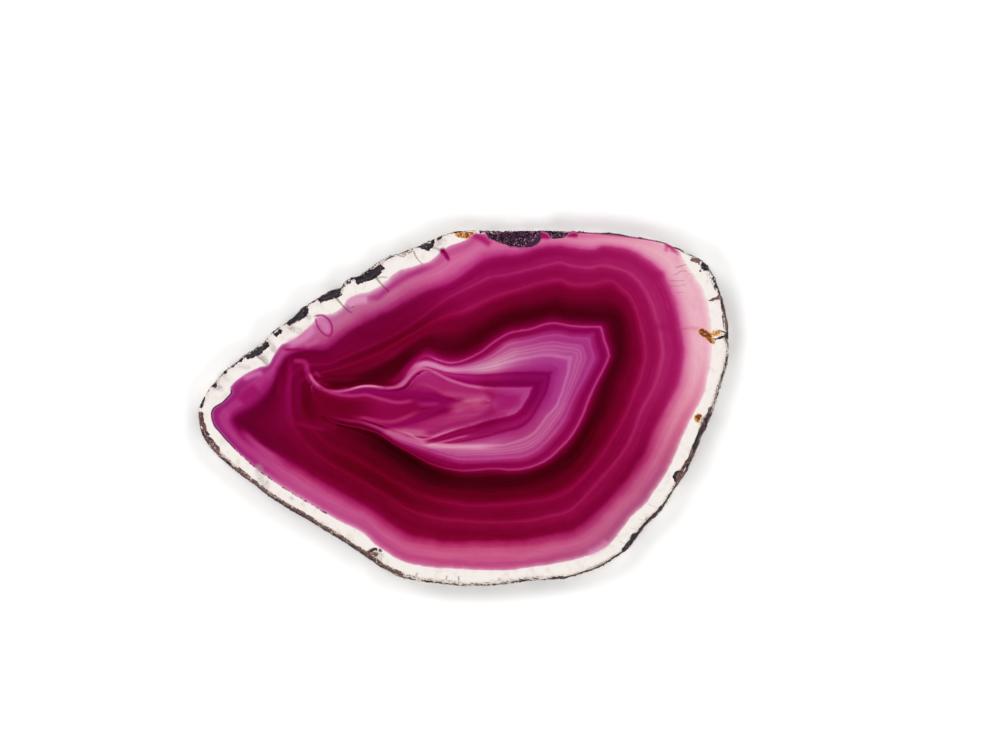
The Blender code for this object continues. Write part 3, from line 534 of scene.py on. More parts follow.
# The tail of the eye, where the bands run out into folds, and the loose strands in the eye, in millimetres
FOLDS = (
    # The dark ring over the tail, and the maroon inside the tail
    Mark(((-20.6, 4.8), (-18, 5.2), (-15.6, 6.1), (-13.4, 7.2), (-11.7, 8.1), (-10, 9.4), (-8.5, 10.8)),
          1.75, 0.85, 2.75, 1.9, fade=0.25),
    Mark(((-30.4, -2.6), (-26.6, -2.9), (-22.2, -3.1)), 1.5, 0.9, 1.62, 2.12, fade=0.15),
    Mark(((-30.5, 1.2), (-27, 0.8), (-22.5, 0.7), (-18, 0.5), (-14.5, 0.4)), 3.4, 1.0, 1.74, 2.2,
          core=0.5, fade=0.3),
    Mark(((-20.5, 0.3), (-16, 0), (-12.5, 0.2), (-9.5, 0.4), (-6.5, 0.6)), 3.2, 0.95, 1.28, 2.1,
          core=0.4, fade=0.4),
    Mark(((-28.8, 5.4), (-28.3, 2), (-27.5, -0.4), (-26.5, -3)), 1.9, 0.8, 2.2, 2.05, core=0.0,
          fade=0.4),
    Mark(((-25.6, 1.2), (-22.6, 0.2), (-19.6, 0.2)), 1.2, 0.5, 1.85, 2.28, fade=0.3),
    # The upright folds left of the curl
    Mark(((-29.9, 7.4), (-29.6, 5.6), (-29.5, 3.6), (-29.6, 1), (-29.8, -1.2)), 0.9, 0.8, 1.62, 1.86,
          fade=0.15),
    Mark(((-31, 10.4), (-31, 8), (-31, 6.4), (-31.2, 4.6), (-31.4, 2.2), (-31.3, -0.4),
          (-31.2, -2.6)), 0.75, 0.8, 1.2, 1.9, fade=0.25),
    Mark(((-31.3, 3.4), (-31.5, 1), (-31.3, -1.4), (-30.6, -2.8)), 0.6, 0.7, 1.4, 1.92, fade=0.25),
    Mark(((-33.2, 8), (-32.8, 5), (-33, 1.6)), 0.7, 0.5, 1.5, 1.8, fade=0.3),
    # The violet wedge that points into the eye, and the light between its arms
    Mark(((-22.6, 3.2), (-20, 2.95), (-17.2, 3.2), (-14.2, 2.95), (-11.4, 2.75), (-8.6, 2.6),
          (-6.4, 2.25), (-4.6, 1.8), (-3, 1.35), (-1.4, 0.9), (0.2, 0.7)), 1.15, 0.95, 1.27, 1.75,
          tip=0.3, fade=0.06),
    Mark(((-14.8, -3.35), (-12.6, -3.05), (-10.6, -2.6), (-9, -2.15), (-7.4, -1.55), (-5.8, -0.8),
          (-4.4, -0.1), (-3, 0.45), (-1.4, 0.75)), 0.95, 0.85, 1.24, 1.88, tip=0.4, fade=0.1),
    Mark(((-8.8, 0.8), (-7, 0.7), (-5.4, 0.75), (-3.8, 0.85)), 0.6, 0.75, 0.86, 1.74, fade=0.3),
    # The dusty core of the eye, in soft streaks that fan out to the right
    Mark(((-10.2, 5), (-7.4, 4.9), (-4.6, 4.4), (-2, 3.9), (1, 3.2), (4, 2.7)), 1.3, 0.85, 0.92,
          2.02, fade=0.15),
    Mark(((-8.6, 4.3), (-6.8, 4.25), (-5, 3.5), (-3.4, 2.8), (-1.6, 2.3), (0.6, 2.1)), 0.5, 0.7, 0.78,
          2.1, fade=0.25),
    Mark(((-4.6, 2.9), (-2.4, 2.6), (0.2, 2.3), (3, 2)), 0.8, 0.7, 0.7, 2.15, fade=0.3),
    Mark(((-3.4, -0.7), (-1.4, 0), (0.8, 0.8), (3, 1.1), (5.4, 1.2)), 1.8, 0.8, 0.58, 2.3, fade=0.3),
    Mark(((-0.6, 1.3), (1.6, 1.5), (3.8, 1.5)), 0.5, 0.7, 0.48, 2.35, fade=0.35),
    Mark(((-8.4, -3.1), (-5.6, -2.4), (-2.6, -1.7), (0.6, -1.4), (3.4, -1.3)), 0.9, 0.7, 0.86, 2.15,
          fade=0.25),
    Mark(((-7.8, -3.4), (-4.4, -3.3), (-1.4, -2.8), (1.2, -2.4)), 0.6, 0.6, 0.96, 2.1, fade=0.3),
    Mark(((-4.4, -1.9), (-1.6, -1.5), (1.4, -1.1), (4.2, -0.9)), 0.4, 0.55, 0.72, 2.25, fade=0.35),
    Mark(((5.6, 1), (8, 0.9), (10.4, 1.8)), 1.4, 0.7, 0.98, 1.82, fade=0.3),
    Mark(((2.4, -1.9), (5.6, -1.4), (8.2, -0.8)), 0.8, 0.5, 0.98, 1.85, fade=0.3),
    # The light folds below the wedge
    Mark(((-15, -4.2), (-13.2, -4.15), (-11.4, -4.15), (-9.6, -4.2), (-7.6, -4.4), (-5.8, -4.7)), 1.0,
          0.85, 0.52, 2.3, fade=0.22),
    Mark(((-13.6, -4.7), (-11.4, -5), (-9.6, -5.5), (-8, -6.1), (-6.6, -6.6)), 0.8, 0.8, 0.56, 2.1,
          fade=0.25),
    Mark(((-8.2, -6.2), (-6.2, -6.5), (-4, -6.65), (-1.8, -6.75), (0.4, -6.8), (3.2, -6.8), (7, -6.6)),
          0.75, 0.9, 0.27, 2.3, fade=0.2),
    Mark(((-7.4, -6.1), (-5.6, -5.9), (-4.2, -5.45), (-3, -5), (-1.8, -4.55), (-0.4, -4.15),
          (1.2, -3.8), (3, -3.4)), 0.36, 0.8, 1.12, 2.1, fade=0.12),
    Mark(((-3.4, -6.2), (-2, -6), (-0.8, -5.7), (0.6, -5.3), (2.2, -4.95), (4, -4.55), (6, -4.2)),
          0.27, 0.8, 1.0, 2.1, fade=0.15),
    Mark(((-12, -4.2), (-10.6, -4.35), (-9.4, -4.75), (-8.3, -5.3), (-7.2, -5.5), (-6, -5.3),
          (-5, -4.95), (-4, -4.55), (-3, -4.25), (-2, -3.9), (-0.8, -3.55), (0.6, -3.1)), 0.42, 0.9,
          0.36, 2.4, tip=0.6, fade=0.2),
    Mark(((-5.4, -6.1), (-4.2, -6), (-3, -5.75), (-2, -5.5), (-1, -5.2), (0.2, -4.95), (2, -4.5)),
          0.32, 0.85, 0.5, 2.35, fade=0.2),
    Mark(((-21.4, -1.45), (-19.6, -1.6), (-18, -1.65), (-16.6, -1.95), (-15, -2.3), (-13.6, -2.4),
          (-12.2, -2.25), (-10.8, -1.75), (-9.4, -1.15), (-8.2, -0.5), (-7, 0.1)), 0.62, 0.9, 0.82, 2.3,
          fade=0.25),
    Mark(((-30.6, -2.5), (-28.8, -2.85), (-27.4, -3.3), (-26, -3.6), (-24.2, -3.9)), 0.55, 0.8, 1.18, 2.2,
          fade=0.25),
    # The curl and the light lines that run on from it
    Mark(((-30.6, 8.5), (-29.4, 8.5), (-28.4, 8.3), (-28, 7.5), (-27.9, 6.5)), 0.75, 0.8, 0.78, 1.98,
          fade=0.12),
    Mark(((-28.1, 8), (-28, 6.6), (-27.6, 5.4), (-27, 4.4)), 0.8, 0.7, 0.92, 1.92, fade=0.2),
    Mark(((-26.6, 6.8), (-26.1, 6.1), (-25.4, 5.5)), 0.5, 0.7, 0.88, 1.98, fade=0.25),
    Mark(((-26.2, 5), (-25.2, 4.5), (-23.6, 4.2)), 0.5, 0.6, 1.08, 2.15, fade=0.25),
    Mark(((-27.6, 6.4), (-27, 5), (-26, 3.9), (-24.4, 3), (-22.4, 2.3), (-19.6, 1.9), (-16.6, 1.8),
          (-13.6, 1), (-10.6, 0.8)), 0.95, 0.55, 1.12, 2.1, fade=0.15),
    Mark(((-27.9, 7.2), (-27.5, 6.2), (-27.1, 5.4), (-26.5, 4.6), (-25.7, 3.95), (-24.8, 3.4),
          (-23.8, 2.95), (-22.6, 2.6), (-21, 2.35), (-19.4, 2.3), (-18, 2.45), (-17, 2.4),
          (-16, 2.1), (-15, 1.8), (-13.8, 1.5), (-12.4, 1.15), (-11, 1.1), (-9.6, 1.35), (-8.4, 1.6)),
          0.5, 0.9, 0.76, 2.08, fade=0.08),
    Mark(((-27.7, 6.6), (-27.2, 5.6), (-26.8, 4.95), (-26.2, 4.4), (-25.2, 3.7)), 0.42, 0.85, 0.46, 2.2,
          fade=0.25),
    Mark(((-14.4, 4.5), (-12.6, 4.9), (-11.3, 5.8), (-10.4, 7), (-9.4, 8.1), (-8, 8.9), (-6.4, 9.1),
          (-4.6, 8.8)), 0.85, 0.7, 1.2, 2.05, fade=0.2),
    Mark(((-12.4, 3.9), (-11, 4.4), (-10.2, 5.4), (-9.4, 6.6), (-8.4, 7.6), (-7.2, 8.1)), 0.85, 0.8, 0.56,
          2.0, fade=0.2),
    Mark(((-9.6, 6.7), (-8.4, 7.7), (-7, 8.15), (-5.6, 7.9), (-4.2, 7.4), (-2.8, 7), (-1, 6.85),
          (1, 7)), 0.6, 0.85, 0.33, 2.1, fade=0.25),
    Mark(((-7.6, 6.3), (-6.2, 6.3), (-4.8, 5.7), (-3.6, 5.1), (-2.4, 4.5)), 0.5, 0.7, 0.98, 2.0, fade=0.3),
    Mark(((-25, 3.7), (-23.6, 3.25), (-22.2, 3.1), (-21, 3.25), (-20, 3.5), (-19, 3.8),
          (-18, 4), (-17, 4.05), (-16, 4), (-15, 3.85), (-14, 3.72), (-13, 3.75),
          (-12, 3.9), (-11.1, 4.25), (-10.3, 4.9), (-9.7, 5.6), (-9.1, 6.2), (-8.4, 6.75), (-7.6, 7.05),
          (-6.8, 7.1), (-6, 6.9), (-5, 6.45), (-4, 5.95), (-3, 5.45), (-2, 5), (-1, 4.65),
          (0, 4.3), (1, 4.05), (2, 3.9), (3.4, 3.7), (5, 3.6)), 0.4, 0.95, 0.52, 2.15, fade=0.06),
    Mark(((-20.8, 3.3), (-19.4, 3.7), (-18, 4), (-16.8, 4.05), (-15.6, 3.95), (-14.2, 3.75)), 0.3, 0.9,
          0.28, 2.3, fade=0.3),
    Mark(((-7.8, 7.45), (-6.4, 7.4), (-5.2, 6.9), (-4, 6.4), (-2.8, 6), (-1.2, 5.9)), 0.22, 0.6, 0.85,
          2.0, fade=0.25),
)

# Cracks in the stone, ink along the limit of the dye, and what the rind left on the faces, in millimetres
MARKS = FOLDS + (
    # The pale lobes of the selvage at the upper left, and the violet streak under them
    Mark(((-39.6, 5.1), (-37.6, 6), (-35.6, 6.6)), 1.0, 0.8, 0.36, 1.8, core=0.0, fade=0.25),
    Mark(((-35, 5.6), (-35.4, 4.2), (-36.4, 2.8)), 0.7, 0.5, 0.95, 1.85, core=0.0, fade=0.3),
    Mark(((-43.2, 0.4), (-42.6, -0.6), (-41.8, -2)), 0.8, 0.5, 0.75, 1.7, core=0.0, fade=0.3),
    Mark(((-31.9, 11.4), (-29.4, 12.2), (-27.6, 13.4), (-26.6, 14.9)), 1.2, 0.9, 0.34, 1.75, core=0.1,
          fade=0.2),
    Mark(((-29, 11), (-27, 11.6), (-25.4, 12.5)), 0.8, 0.6, 0.48, 1.85, core=0.0, fade=0.3),
    Mark(((-20.8, 18.5), (-19, 19.3), (-17, 19.6)), 1.3, 0.9, 0.27, 1.9, fade=0.15),
    Mark(((-25.7, 15.7), (-24.8, 15), (-24.4, 14.1)), 1.0, 0.85, 0.4, 1.8, core=0.3),
    Mark(((-17.2, 19.9), (-15.4, 19.8), (-13.6, 21.2), (-10.7, 23.2), (-8, 24.5), (-5, 25.7)), 0.9,
          0.75, 0.86, 1.85, core=0.0, fade=0.2),
    Mark(((-27, 16.3), (-25.4, 16.7), (-24.1, 15.9), (-23.5, 14.6), (-23.6, 13.4), (-24.1, 12.7)), 0.28,
          0.62, 1.2, 1.6, core=0.0, fade=0.1),
    Mark(((-26.5, 16.2), (-26.1, 14.8), (-25.3, 13.6), (-24.2, 12.9)), 0.25, 0.55, 1.2, 1.6, core=0.0,
          fade=0.1),
    # The selvage at the pointed end, darker above and lighter below
    Mark(((-40, 0.9), (-38.4, 2.6), (-36.6, 3.8)), 1.6, 0.7, 1.15, 1.85, fade=0.25),
    Mark(((-40.4, -3.2), (-38, -5.4), (-35, -7.9), (-31.6, -10)), 1.1, 0.75, 0.62, 2.0, core=0.1,
          fade=0.3),
    # The maroon below the tail, smoother than the rings elsewhere
    Mark(((-33, -2.6), (-28, -5), (-22, -7.6), (-16, -10.4)), 3.6, 0.5, 1.72, 2.25, core=0.0,
          fade=0.35),
    Mark(((-32.4, 10.6), (-30.6, 10.5), (-28.4, 10.6)), 0.4, 0.6, 1.4, 1.95, fade=0.3),
    Mark(((-4.2, 28.6), (-3.6, 28), (-3, 27.2), (-2.5, 26.2)), 0.9, 0.8, 1.7, 1.85, core=0.0, tip=0.3,
          fade=0.25),
    Mark(((1.4, 31.1), (3.2, 30.4), (5, 29)), 0.9, 0.6, 1.15, 1.95, core=0.0, fade=0.25),
    Mark(((12.4, 31.1), (15, 30.9)), 0.9, 0.8, 1.25, 1.9),
    Mark(((18.2, 31.2), (20.6, 31)), 0.7, 0.7, 1.35, 1.9, fade=0.3),
    Mark(((35.8, 29.5), (36.8, 29.1), (37.8, 28.4)), 0.75, 0.75, 1.15, 1.7, core=0.0, tip=0.6, fade=0.35),
    Mark(((37.4, 28.3), (38.2, 27.9)), 0.5, 0.7, 0.8, 1.8, core=0.0),
    Mark(((36.2, 28.4),), 0.6, 0.4, 0.8, 1.8, core=0.0),
    Mark(((32.4, 23.7), (34.6, 23.9), (36.4, 23.9)), 1.1, 0.45, 1.1, 2.0, core=0.0, fade=0.5),
    Mark(((31, 14.7), (34.6, 14.6), (38.4, 14.1)), 1.1, 0.35, 1.15, 1.95, core=0.0, fade=0.4),
    Mark(((37, 14.2), (40.6, 14.4), (42.6, 14.1)), 0.6, 0.3, 0.5, 2.4, core=0.0, fade=0.3),
    Mark(((22, -26), (24.2, -25), (25.8, -23.4)), 1.3, 0.55, 0.26, 1.9, core=0.0, fade=0.2),
    Ink(((-37.4, 5), (-39.4, 3.6)), 0.6, 0.8),
    Ink(((-41.5, 2.6), (-43.3, 0.9), (-44.9, -0.3), (-45, -1.6), (-43.7, -4), (-41.4, -6.6)), 0.9, 1.0,
         core=0.6),
    Ink(((-41.4, -6.6), (-38.7, -9.2), (-34.4, -12.5), (-29.8, -15.5), (-25, -18.4)), 0.9, 0.5, core=0.6),
    Ink(((-25, -18.4), (-21.9, -20), (-18.5, -21.9)), 0.9, 0.35, core=0.6),
    Crack(((-9.05, 28.5), (-8.5, 27.1), (-7.4, 25.8)), 0.24, 0.85, tip=0.5),
    Crack(((-15.8, 23.6), (-14.5, 22), (-13.4, 21)), 0.3, 0.9, tip=0.4),
    Crack(((-15.7, 23.3), (-14.6, 23.5), (-13.8, 23.4)), 0.22, 0.55),
    Crack(((-22.8, 19.8), (-21.4, 18.2), (-20.2, 17.1)), 0.3, 0.9, tip=0.4),
    Crack(((-36.9, 9.4), (-36, 8.7), (-35.1, 7.9)), 0.26, 0.85, tip=0.5),
    Crack(((-5.6, 28.8), (-4.6, 28.5), (-3.5, 28.1)), 0.34, 0.6),
    Crack(((37.8, 25.2), (38.6, 25.4), (39.9, 25.8)), 0.14, 0.6, fade=0.2),
    Crack(((37.2, 23.8), (38, 24), (38.7, 24.5), (39.4, 24.6), (40.2, 24.3)), 0.12, 0.5, fade=0.2),
    Crack(((39.9, 24.1), (41, 24)), 0.12, 0.4, fade=0.2),
    Crack(((36.6, 22.9), (38.2, 22.8), (39.6, 22.9)), 0.12, 0.45, fade=0.2),
    Crack(((36.8, 21.9), (38.4, 21.9), (39.9, 22.2)), 0.12, 0.4, fade=0.2),
    Crack(((37.8, 20.7), (39.5, 20.8)), 0.12, 0.35, fade=0.2),
    Crack(((37.2, 14.1), (40.4, 14.3)), 0.13, 0.35, fade=0.3),
    Crack(((-8.7, -30.9), (-8.4, -29.6)), 0.18, 0.7),
    Crack(((-3.2, -31.2), (-3, -29.8)), 0.2, 0.7),
    Crack(((-0.8, -31.6), (-0.9, -30.1)), 0.2, 0.8),
    Crack(((6.2, -31.4), (6.4, -30.4)), 0.3, 0.8),
    Crack(((29.6, -21.2), (31.6, -21.9)), 0.14, 0.25, fade=0.3),
    Crack(((31, -19.6), (33.2, -20.3)), 0.14, 0.3, fade=0.3),
    Crack(((32.8, -17), (34.8, -17.8)), 0.14, 0.25, fade=0.3),
    Crack(((27.6, -23.6), (29.4, -24.4)), 0.14, 0.25, fade=0.3),
    Haze(((-42.9, 6.4), (-42.3, 5.4)), 0.9, 0.45),
    Haze(((-44.4, 3.9), (-43.4, 3.7)), 0.9, 0.85),
    Haze(((-46.2, 3.2), (-45.8, 1.9)), 0.5, 0.4),
    Haze(((-34.8, 11.8), (-33.8, 10.4)), 0.9, 0.7),
    Haze(((-36.6, 9.6), (-35.5, 8.8), (-35.2, 8.1)), 0.8, 0.8),
    Haze(((-28.6, 17.2), (-27.6, 16.2)), 0.8, 0.7),
    Haze(((-40.2, 7.6), (-38.4, 7.3)), 0.6, 0.5),
    Haze(((-31.4, 14.9), (-30.4, 14.2), (-29.4, 13.9)), 0.8, 0.9),
    Haze(((-4.9, 29.4), (-3.6, 29.8)), 0.9, 0.65),
    Haze(((-36.6, -10.6), (-36.4, -12), (-35.2, -13.6)), 1.1, 0.6),
    Haze(((-30.7, -16),), 0.65, 0.85),
    Haze(((-28.8, -17.2),), 0.5, 0.4),
    Haze(((-16.6, -25.6), (-15.4, -25.6), (-14.9, -26.2)), 0.8, 0.9),
    Haze(((5, -31.1), (9.6, -30.7), (14, -30.3)), 0.8, 0.4),
    Rust(((-0.9, 31.4), (0.2, 31), (1.4, 31.5)), 1.1, 0.9, core=0.35),
    Rust(((42.6, 13.7), (43.4, 13.2), (43.9, 12.9)), 0.9, 1.0, core=0.5),
    Rust(((43.9, 12.5), (44.5, 11.9)), 0.65, 1.0, core=0.5),
    Rust(((44.3, 13), (45, 13.7), (45.9, 13.2)), 0.9, 0.62, core=0.3),
    Rust(((41.9, -1.7), (42.5, -2.3), (43.2, -2.7)), 1.15, 1.0, core=0.4),
    Rust(((-16.4, -25.6), (-15.6, -26.2), (-15.2, -27.2)), 0.7, 0.8, core=0.3),
    Rust(((38.6, 26.6), (39.6, 26.2)), 0.6, 0.35, core=0.3),
    # Clay along the lower left and on the round end
    Clay(((-47.3, -1.2), (-46.9, -3.2), (-45.9, -5.4), (-44.4, -7.3)), 1.2, 1.0, core=0.4),
    Clay(((-44.4, -7.3), (-42.7, -9.3), (-40.3, -11.4)), 0.75, 0.7),
    Clay(((-40.3, -11.4), (-36.8, -14.2), (-33.1, -16.9), (-25.6, -21.3), (-18.5, -25.8), (-14.9, -28.3),
          (-11.3, -30)), 1.3, 1.0, core=0.4),
    Clay(((46, 21), (46.7, 18.4), (47.1, 16.2), (47.3, 14.4)), 0.9, 0.95, core=0.3),
    Clay(((41.6, 26.4), (43.4, 25), (44.9, 22.6), (45.6, 20.8)), 0.9, 0.45, core=0.3),
    Clay(((38.6, -13), (41, -8.8), (42.2, -5.8), (43.3, -3.2), (44.4, -0.6)), 1.35, 1.0, core=0.4),
    Clay(((35.4, -18), (33, -20.6), (31, -22.8), (29.2, -25.2)), 1.0, 0.9, core=0.3),
    # Soot along the rim, clockwise from the pointed end, solid where it covers all and else in specks
    Soot(((-47.3, 0.3), (-46.1, 2.7), (-44.8, 4.5), (-43.2, 6.2), (-41.4, 7.8)), 0.6, 0.42, core=0.3),
    Soot(((-44.4, 4.1),), 0.6, 1.0, core=0.5),
    Soot(((-39.9, 8.7),), 0.45, 1.0, core=0.5),
    Soot(((-42.6, 6.5),), 0.4, 0.9, core=0.4),
    Soot(((-33.4, 13.2), (-32.6, 13.9)), 0.4, 0.9, core=0.4),
    Soot(((-46.4, 1.7), (-46.7, 0.2)), 0.4, 0.55),
    Soot(((-41.4, 7.9), (-40.2, 8.8)), 0.6, 0.75),
    Soot(((-41.4, 7.8), (-37.3, 10.8), (-33.9, 14), (-29.8, 17), (-25.4, 20.3), (-21.8, 21.8),
          (-18.9, 23.8), (-14.5, 26.6), (-10.4, 28.3), (-6.4, 29.9)), 0.75, 0.48, core=0.3),
    Soot(((-38.9, 9.5), (-37.6, 9.9), (-36.5, 10.5), (-35.1, 12)), 1.15, 1.0, core=0.3, fade=0.06),
    Soot(((-32.8, 13.9),), 0.5, 0.8),
    Soot(((-31.7, 15), (-30.2, 15.9), (-28.9, 17), (-28, 18.2)), 1.05, 1.0, core=0.3, fade=0.08),
    Soot(((-26.2, 19.5), (-24.6, 20.2), (-23.1, 20.6), (-21.9, 21.2)), 1.35, 1.0, core=0.3, fade=0.06),
    Soot(((-19.5, 23.1), (-17.6, 23.7), (-16, 24.5), (-14.7, 25.9)), 1.5, 1.0, core=0.4, fade=0.06),
    Soot(((-12.1, 27.6), (-10.7, 28.1), (-9.3, 28.6)), 0.7, 0.85, fade=0.1),
    Soot(((-7.2, 29.2), (-6.3, 28.9), (-5.9, 29.8)), 0.9, 1.0, core=0.5),
    Soot(((-3.9, 30.6), (-4.6, 30.2)), 0.35, 0.7),
    Soot(((-5, 30.5), (-2.6, 31.4), (1.4, 31.9), (4.6, 31.8)), 0.4, 0.8),
    Soot(((-28.5, 16.4), (-28, 16.9)), 0.4, 0.6),
    Soot(((19, 31.7), (24.4, 31.4), (29.7, 30.8), (33.3, 30.3), (36.3, 29.6)), 0.4, 0.9),
    Soot(((36.3, 29.6), (38.7, 28.3), (41.2, 27.2), (43.1, 26), (44.6, 24), (45.6, 21.5), (46.5, 18.7),
          (47.1, 16.2), (47.4, 13.7)), 0.42, 0.75, core=0.0),
    Clay(((40.6, 26.4), (41.4, 26.9), (42, 26.8)), 0.7, 0.75),
    Soot(((45.1, 21.6), (44.2, 23.6), (42.8, 25.3)), 0.9, 0.42, core=0.4),
    Soot(((42.6, 25.9),), 0.4, 0.6),
    Soot(((43.2, 24.9),), 0.35, 0.5),
    Soot(((42.2, 24.6),), 0.3, 0.5),
    Clay(((46.6, 20.2), (45.6, 19.9), (44, 19.3)), 0.75, 1.0, core=0.4, tip=0.3),
    Soot(((45.9, 19.2), (46.2, 17.4), (46.4, 15.6), (46.6, 14.2)), 0.28, 0.6),
    Clay(((47.4, 13.1), (46.2, 12.7), (44.9, 12.4)), 0.55, 1.0, core=0.4, tip=0.4),
    Clay(((47.4, 13.4), (46.4, 13.7), (45.5, 14)), 0.4, 0.9, core=0.3, tip=0.4),
    Soot(((47.3, 13.2), (46.4, 12.9), (45.6, 12.6)), 0.3, 0.9),
    Soot(((47.2, 14.4), (47.1, 13.2), (47, 12.2)), 0.5, 0.9),
    Soot(((47.4, 12.4), (47.2, 9.6), (46.6, 6.5), (45.5, 2.9), (44.6, 0.1), (43.8, -1.8)), 0.8, 0.42,
          core=0.3),
    Soot(((43.9, -1.4), (43.1, -3.4), (42, -5.8), (41, -8.4), (40.1, -10.2)), 0.9, 0.55),
    Soot(((42.6, -3.8), (41.8, -5.2), (41.2, -7)), 0.5, 0.7, core=0.3),
    Clay(((38.4, -12),), 0.95, 1.0, core=0.6),
    Soot(((37.9, -12.9), (37.6, -12.1), (38.1, -11.4), (38.9, -11.2)), 0.4, 1.0),
    Soot(((38.5, -13.4), (36.9, -16), (35.2, -18.2), (33, -20.4)), 0.55, 0.6, core=0.3),
    Soot(((36.9, -15.4), (36.2, -16.7)), 0.6, 0.8),
    Soot(((35.4, -17.4), (34.6, -18.6)), 0.5, 0.7),
    Soot(((33.5, -19.9), (32.2, -21.2), (31, -22.8)), 0.7, 0.85),
    Soot(((30.6, -22.8), (29.4, -24.6), (28.8, -25.4)), 0.9, 0.9, core=0.3),
    Soot(((29.2, -25.3), (27.1, -26.8), (24.4, -28.4), (20.8, -29.7), (17.2, -30.4)), 0.5, 0.65),
    Soot(((17.2, -30.4), (11.9, -30.9), (6.5, -31.5), (1.2, -31.8), (-4.2, -31.4), (-7.8, -31),
          (-11.3, -30.1)), 0.5, 0.62),
    Soot(((-12.4, -29.6), (-14.9, -28.3), (-18.5, -25.8), (-25.6, -21.3), (-33.1, -16.9)), 1.0, 0.42,
          core=0.3),
    Soot(((-33.1, -16.9), (-36.8, -14.2), (-40.4, -11.5), (-45.1, -7.4), (-46.8, -4.9)), 0.7, 0.4,
          core=0.3),
    Clay(((-17.2, -25.9), (-16.3, -25.2), (-15.4, -25), (-14.8, -25.3)), 0.42, 0.95),
    Soot(((-16.9, -25.8), (-16.2, -25.3), (-15.6, -25.1)), 0.22, 0.8),
    Clay(((-16.4, -26.1), (-15.6, -26.1)), 0.7, 0.62, core=0.5),
    Soot(((-19.2, 18.3),), 0.28, 0.6),
    Soot(((-19.9, 18.1),), 0.2, 0.45),
)


@dataclass(frozen=True)
class BandedStone:
    """The agate's inside: how far each point of it had grown, and what marks it carries.

    Attributes:
        lines: The growth lines, each inside the one before it.
        marks: The cracks, dashes and stains.
        middle: The point that the sides lie round, in millimetres.
        plain: The share of the way to the next side over which a side keeps its own look.
    """

    lines: tuple[Contour, ...] = GROWTH_LINES
    marks: tuple[Mark, ...] = MARKS
    middle: Place = (5.0, 1.0)
    plain: float = 0.12

    def growth(self, points: np.ndarray, rind_depth: np.ndarray) -> np.ndarray:
        """Counts the growth lines between the rind and each point, with parts of one between two lines.

        Args:
            points: The points, one to a row, in millimetres.
            rind_depth: How far each point lies inside the rind.

        Returns:
            Each point's growth, nought at the rind.
        """
        growth = np.zeros(len(points))
        outer = rind_depth
        for line in self.lines:
            within = outer > 0
            inner = line.depth(points[within])
            growth[within] += np.clip(outer[within] / np.maximum(outer[within] - inner, TOUCHING), 0, 1)
            outer = np.full(len(points), -1.0)
            outer[within] = inner
        return growth + np.clip(outer / CORE_DEPTH, 0, 1)

    def shares(self, points: np.ndarray) -> dict[Side, np.ndarray]:
        """How much of each side there is in each point. The shares of a point add up to 1."""
        angles = np.degrees(np.arctan2(points[:, 1] - self.middle[1], points[:, 0] - self.middle[0]))
        sides = list(Side)
        shares = {side: np.zeros(len(points)) for side in sides}
        for side, following in zip(sides, sides[1:] + sides[:1]):
            step = (following.value - side.value) % 360
            along = (angles - side.value) % 360 / step
            passed = eased(along, self.plain, 1 - self.plain)
            between = along < 1
            shares[side][between] = 1 - passed[between]
            shares[following][between] = passed[between]
        return shares

    def mark_layers(self, points: np.ndarray) -> dict[str, np.ndarray]:
        """Lays the marks over one another.

        Args:
            points: The points, one to a row, in millimetres.

        Returns:
            For each kind of mark, how much of the stone it hides. For dye, also what it brings, already
            weighed by how much it hides.
        """
        names = [kind.value for kind in MarkKind] + ["mark_density", "mark_green", "mark_blue"]
        layers = {name: np.zeros(len(points)) for name in names}
        for mark in self.marks:
            cover = mark.strength(points)
            layer = layers[mark.kind.value]
            layers[mark.kind.value] = layer + cover - layer * cover
            if mark.kind is MarkKind.DYE:
                for name, value in zip(names[-3:], (mark.density, greenness(mark.density), mark.blue)):
                    layers[name] = layers[name] * (1 - cover) + value * cover
        return layers


@dataclass(frozen=True)
class Cloud:
    """A cloudy pattern in space, from about 0 to 1 with its middle at a half.

    Attributes:
        size: The size of its clouds, in millimetres.
        seed: Another number gives another pattern.
        detail: How many finer patterns are laid over it.
        roughness: How strong the finer ones are.
    """

    size: float
    seed: float = 0.0
    detail: float = 2.0
    roughness: float = 0.5


@dataclass(frozen=True)
class Tear:
    """How ragged the edge of a patch is.

    Attributes:
        reach: How far its teeth reach.
        level: How much cover there has to be before the patch shows.
        soft: How much more there has to be until it is whole.
        swell: How much the cover is raised all over.
    """

    reach: float = 5.0
    level: float = 0.45
    soft: float = 0.12
    swell: float = 1.0


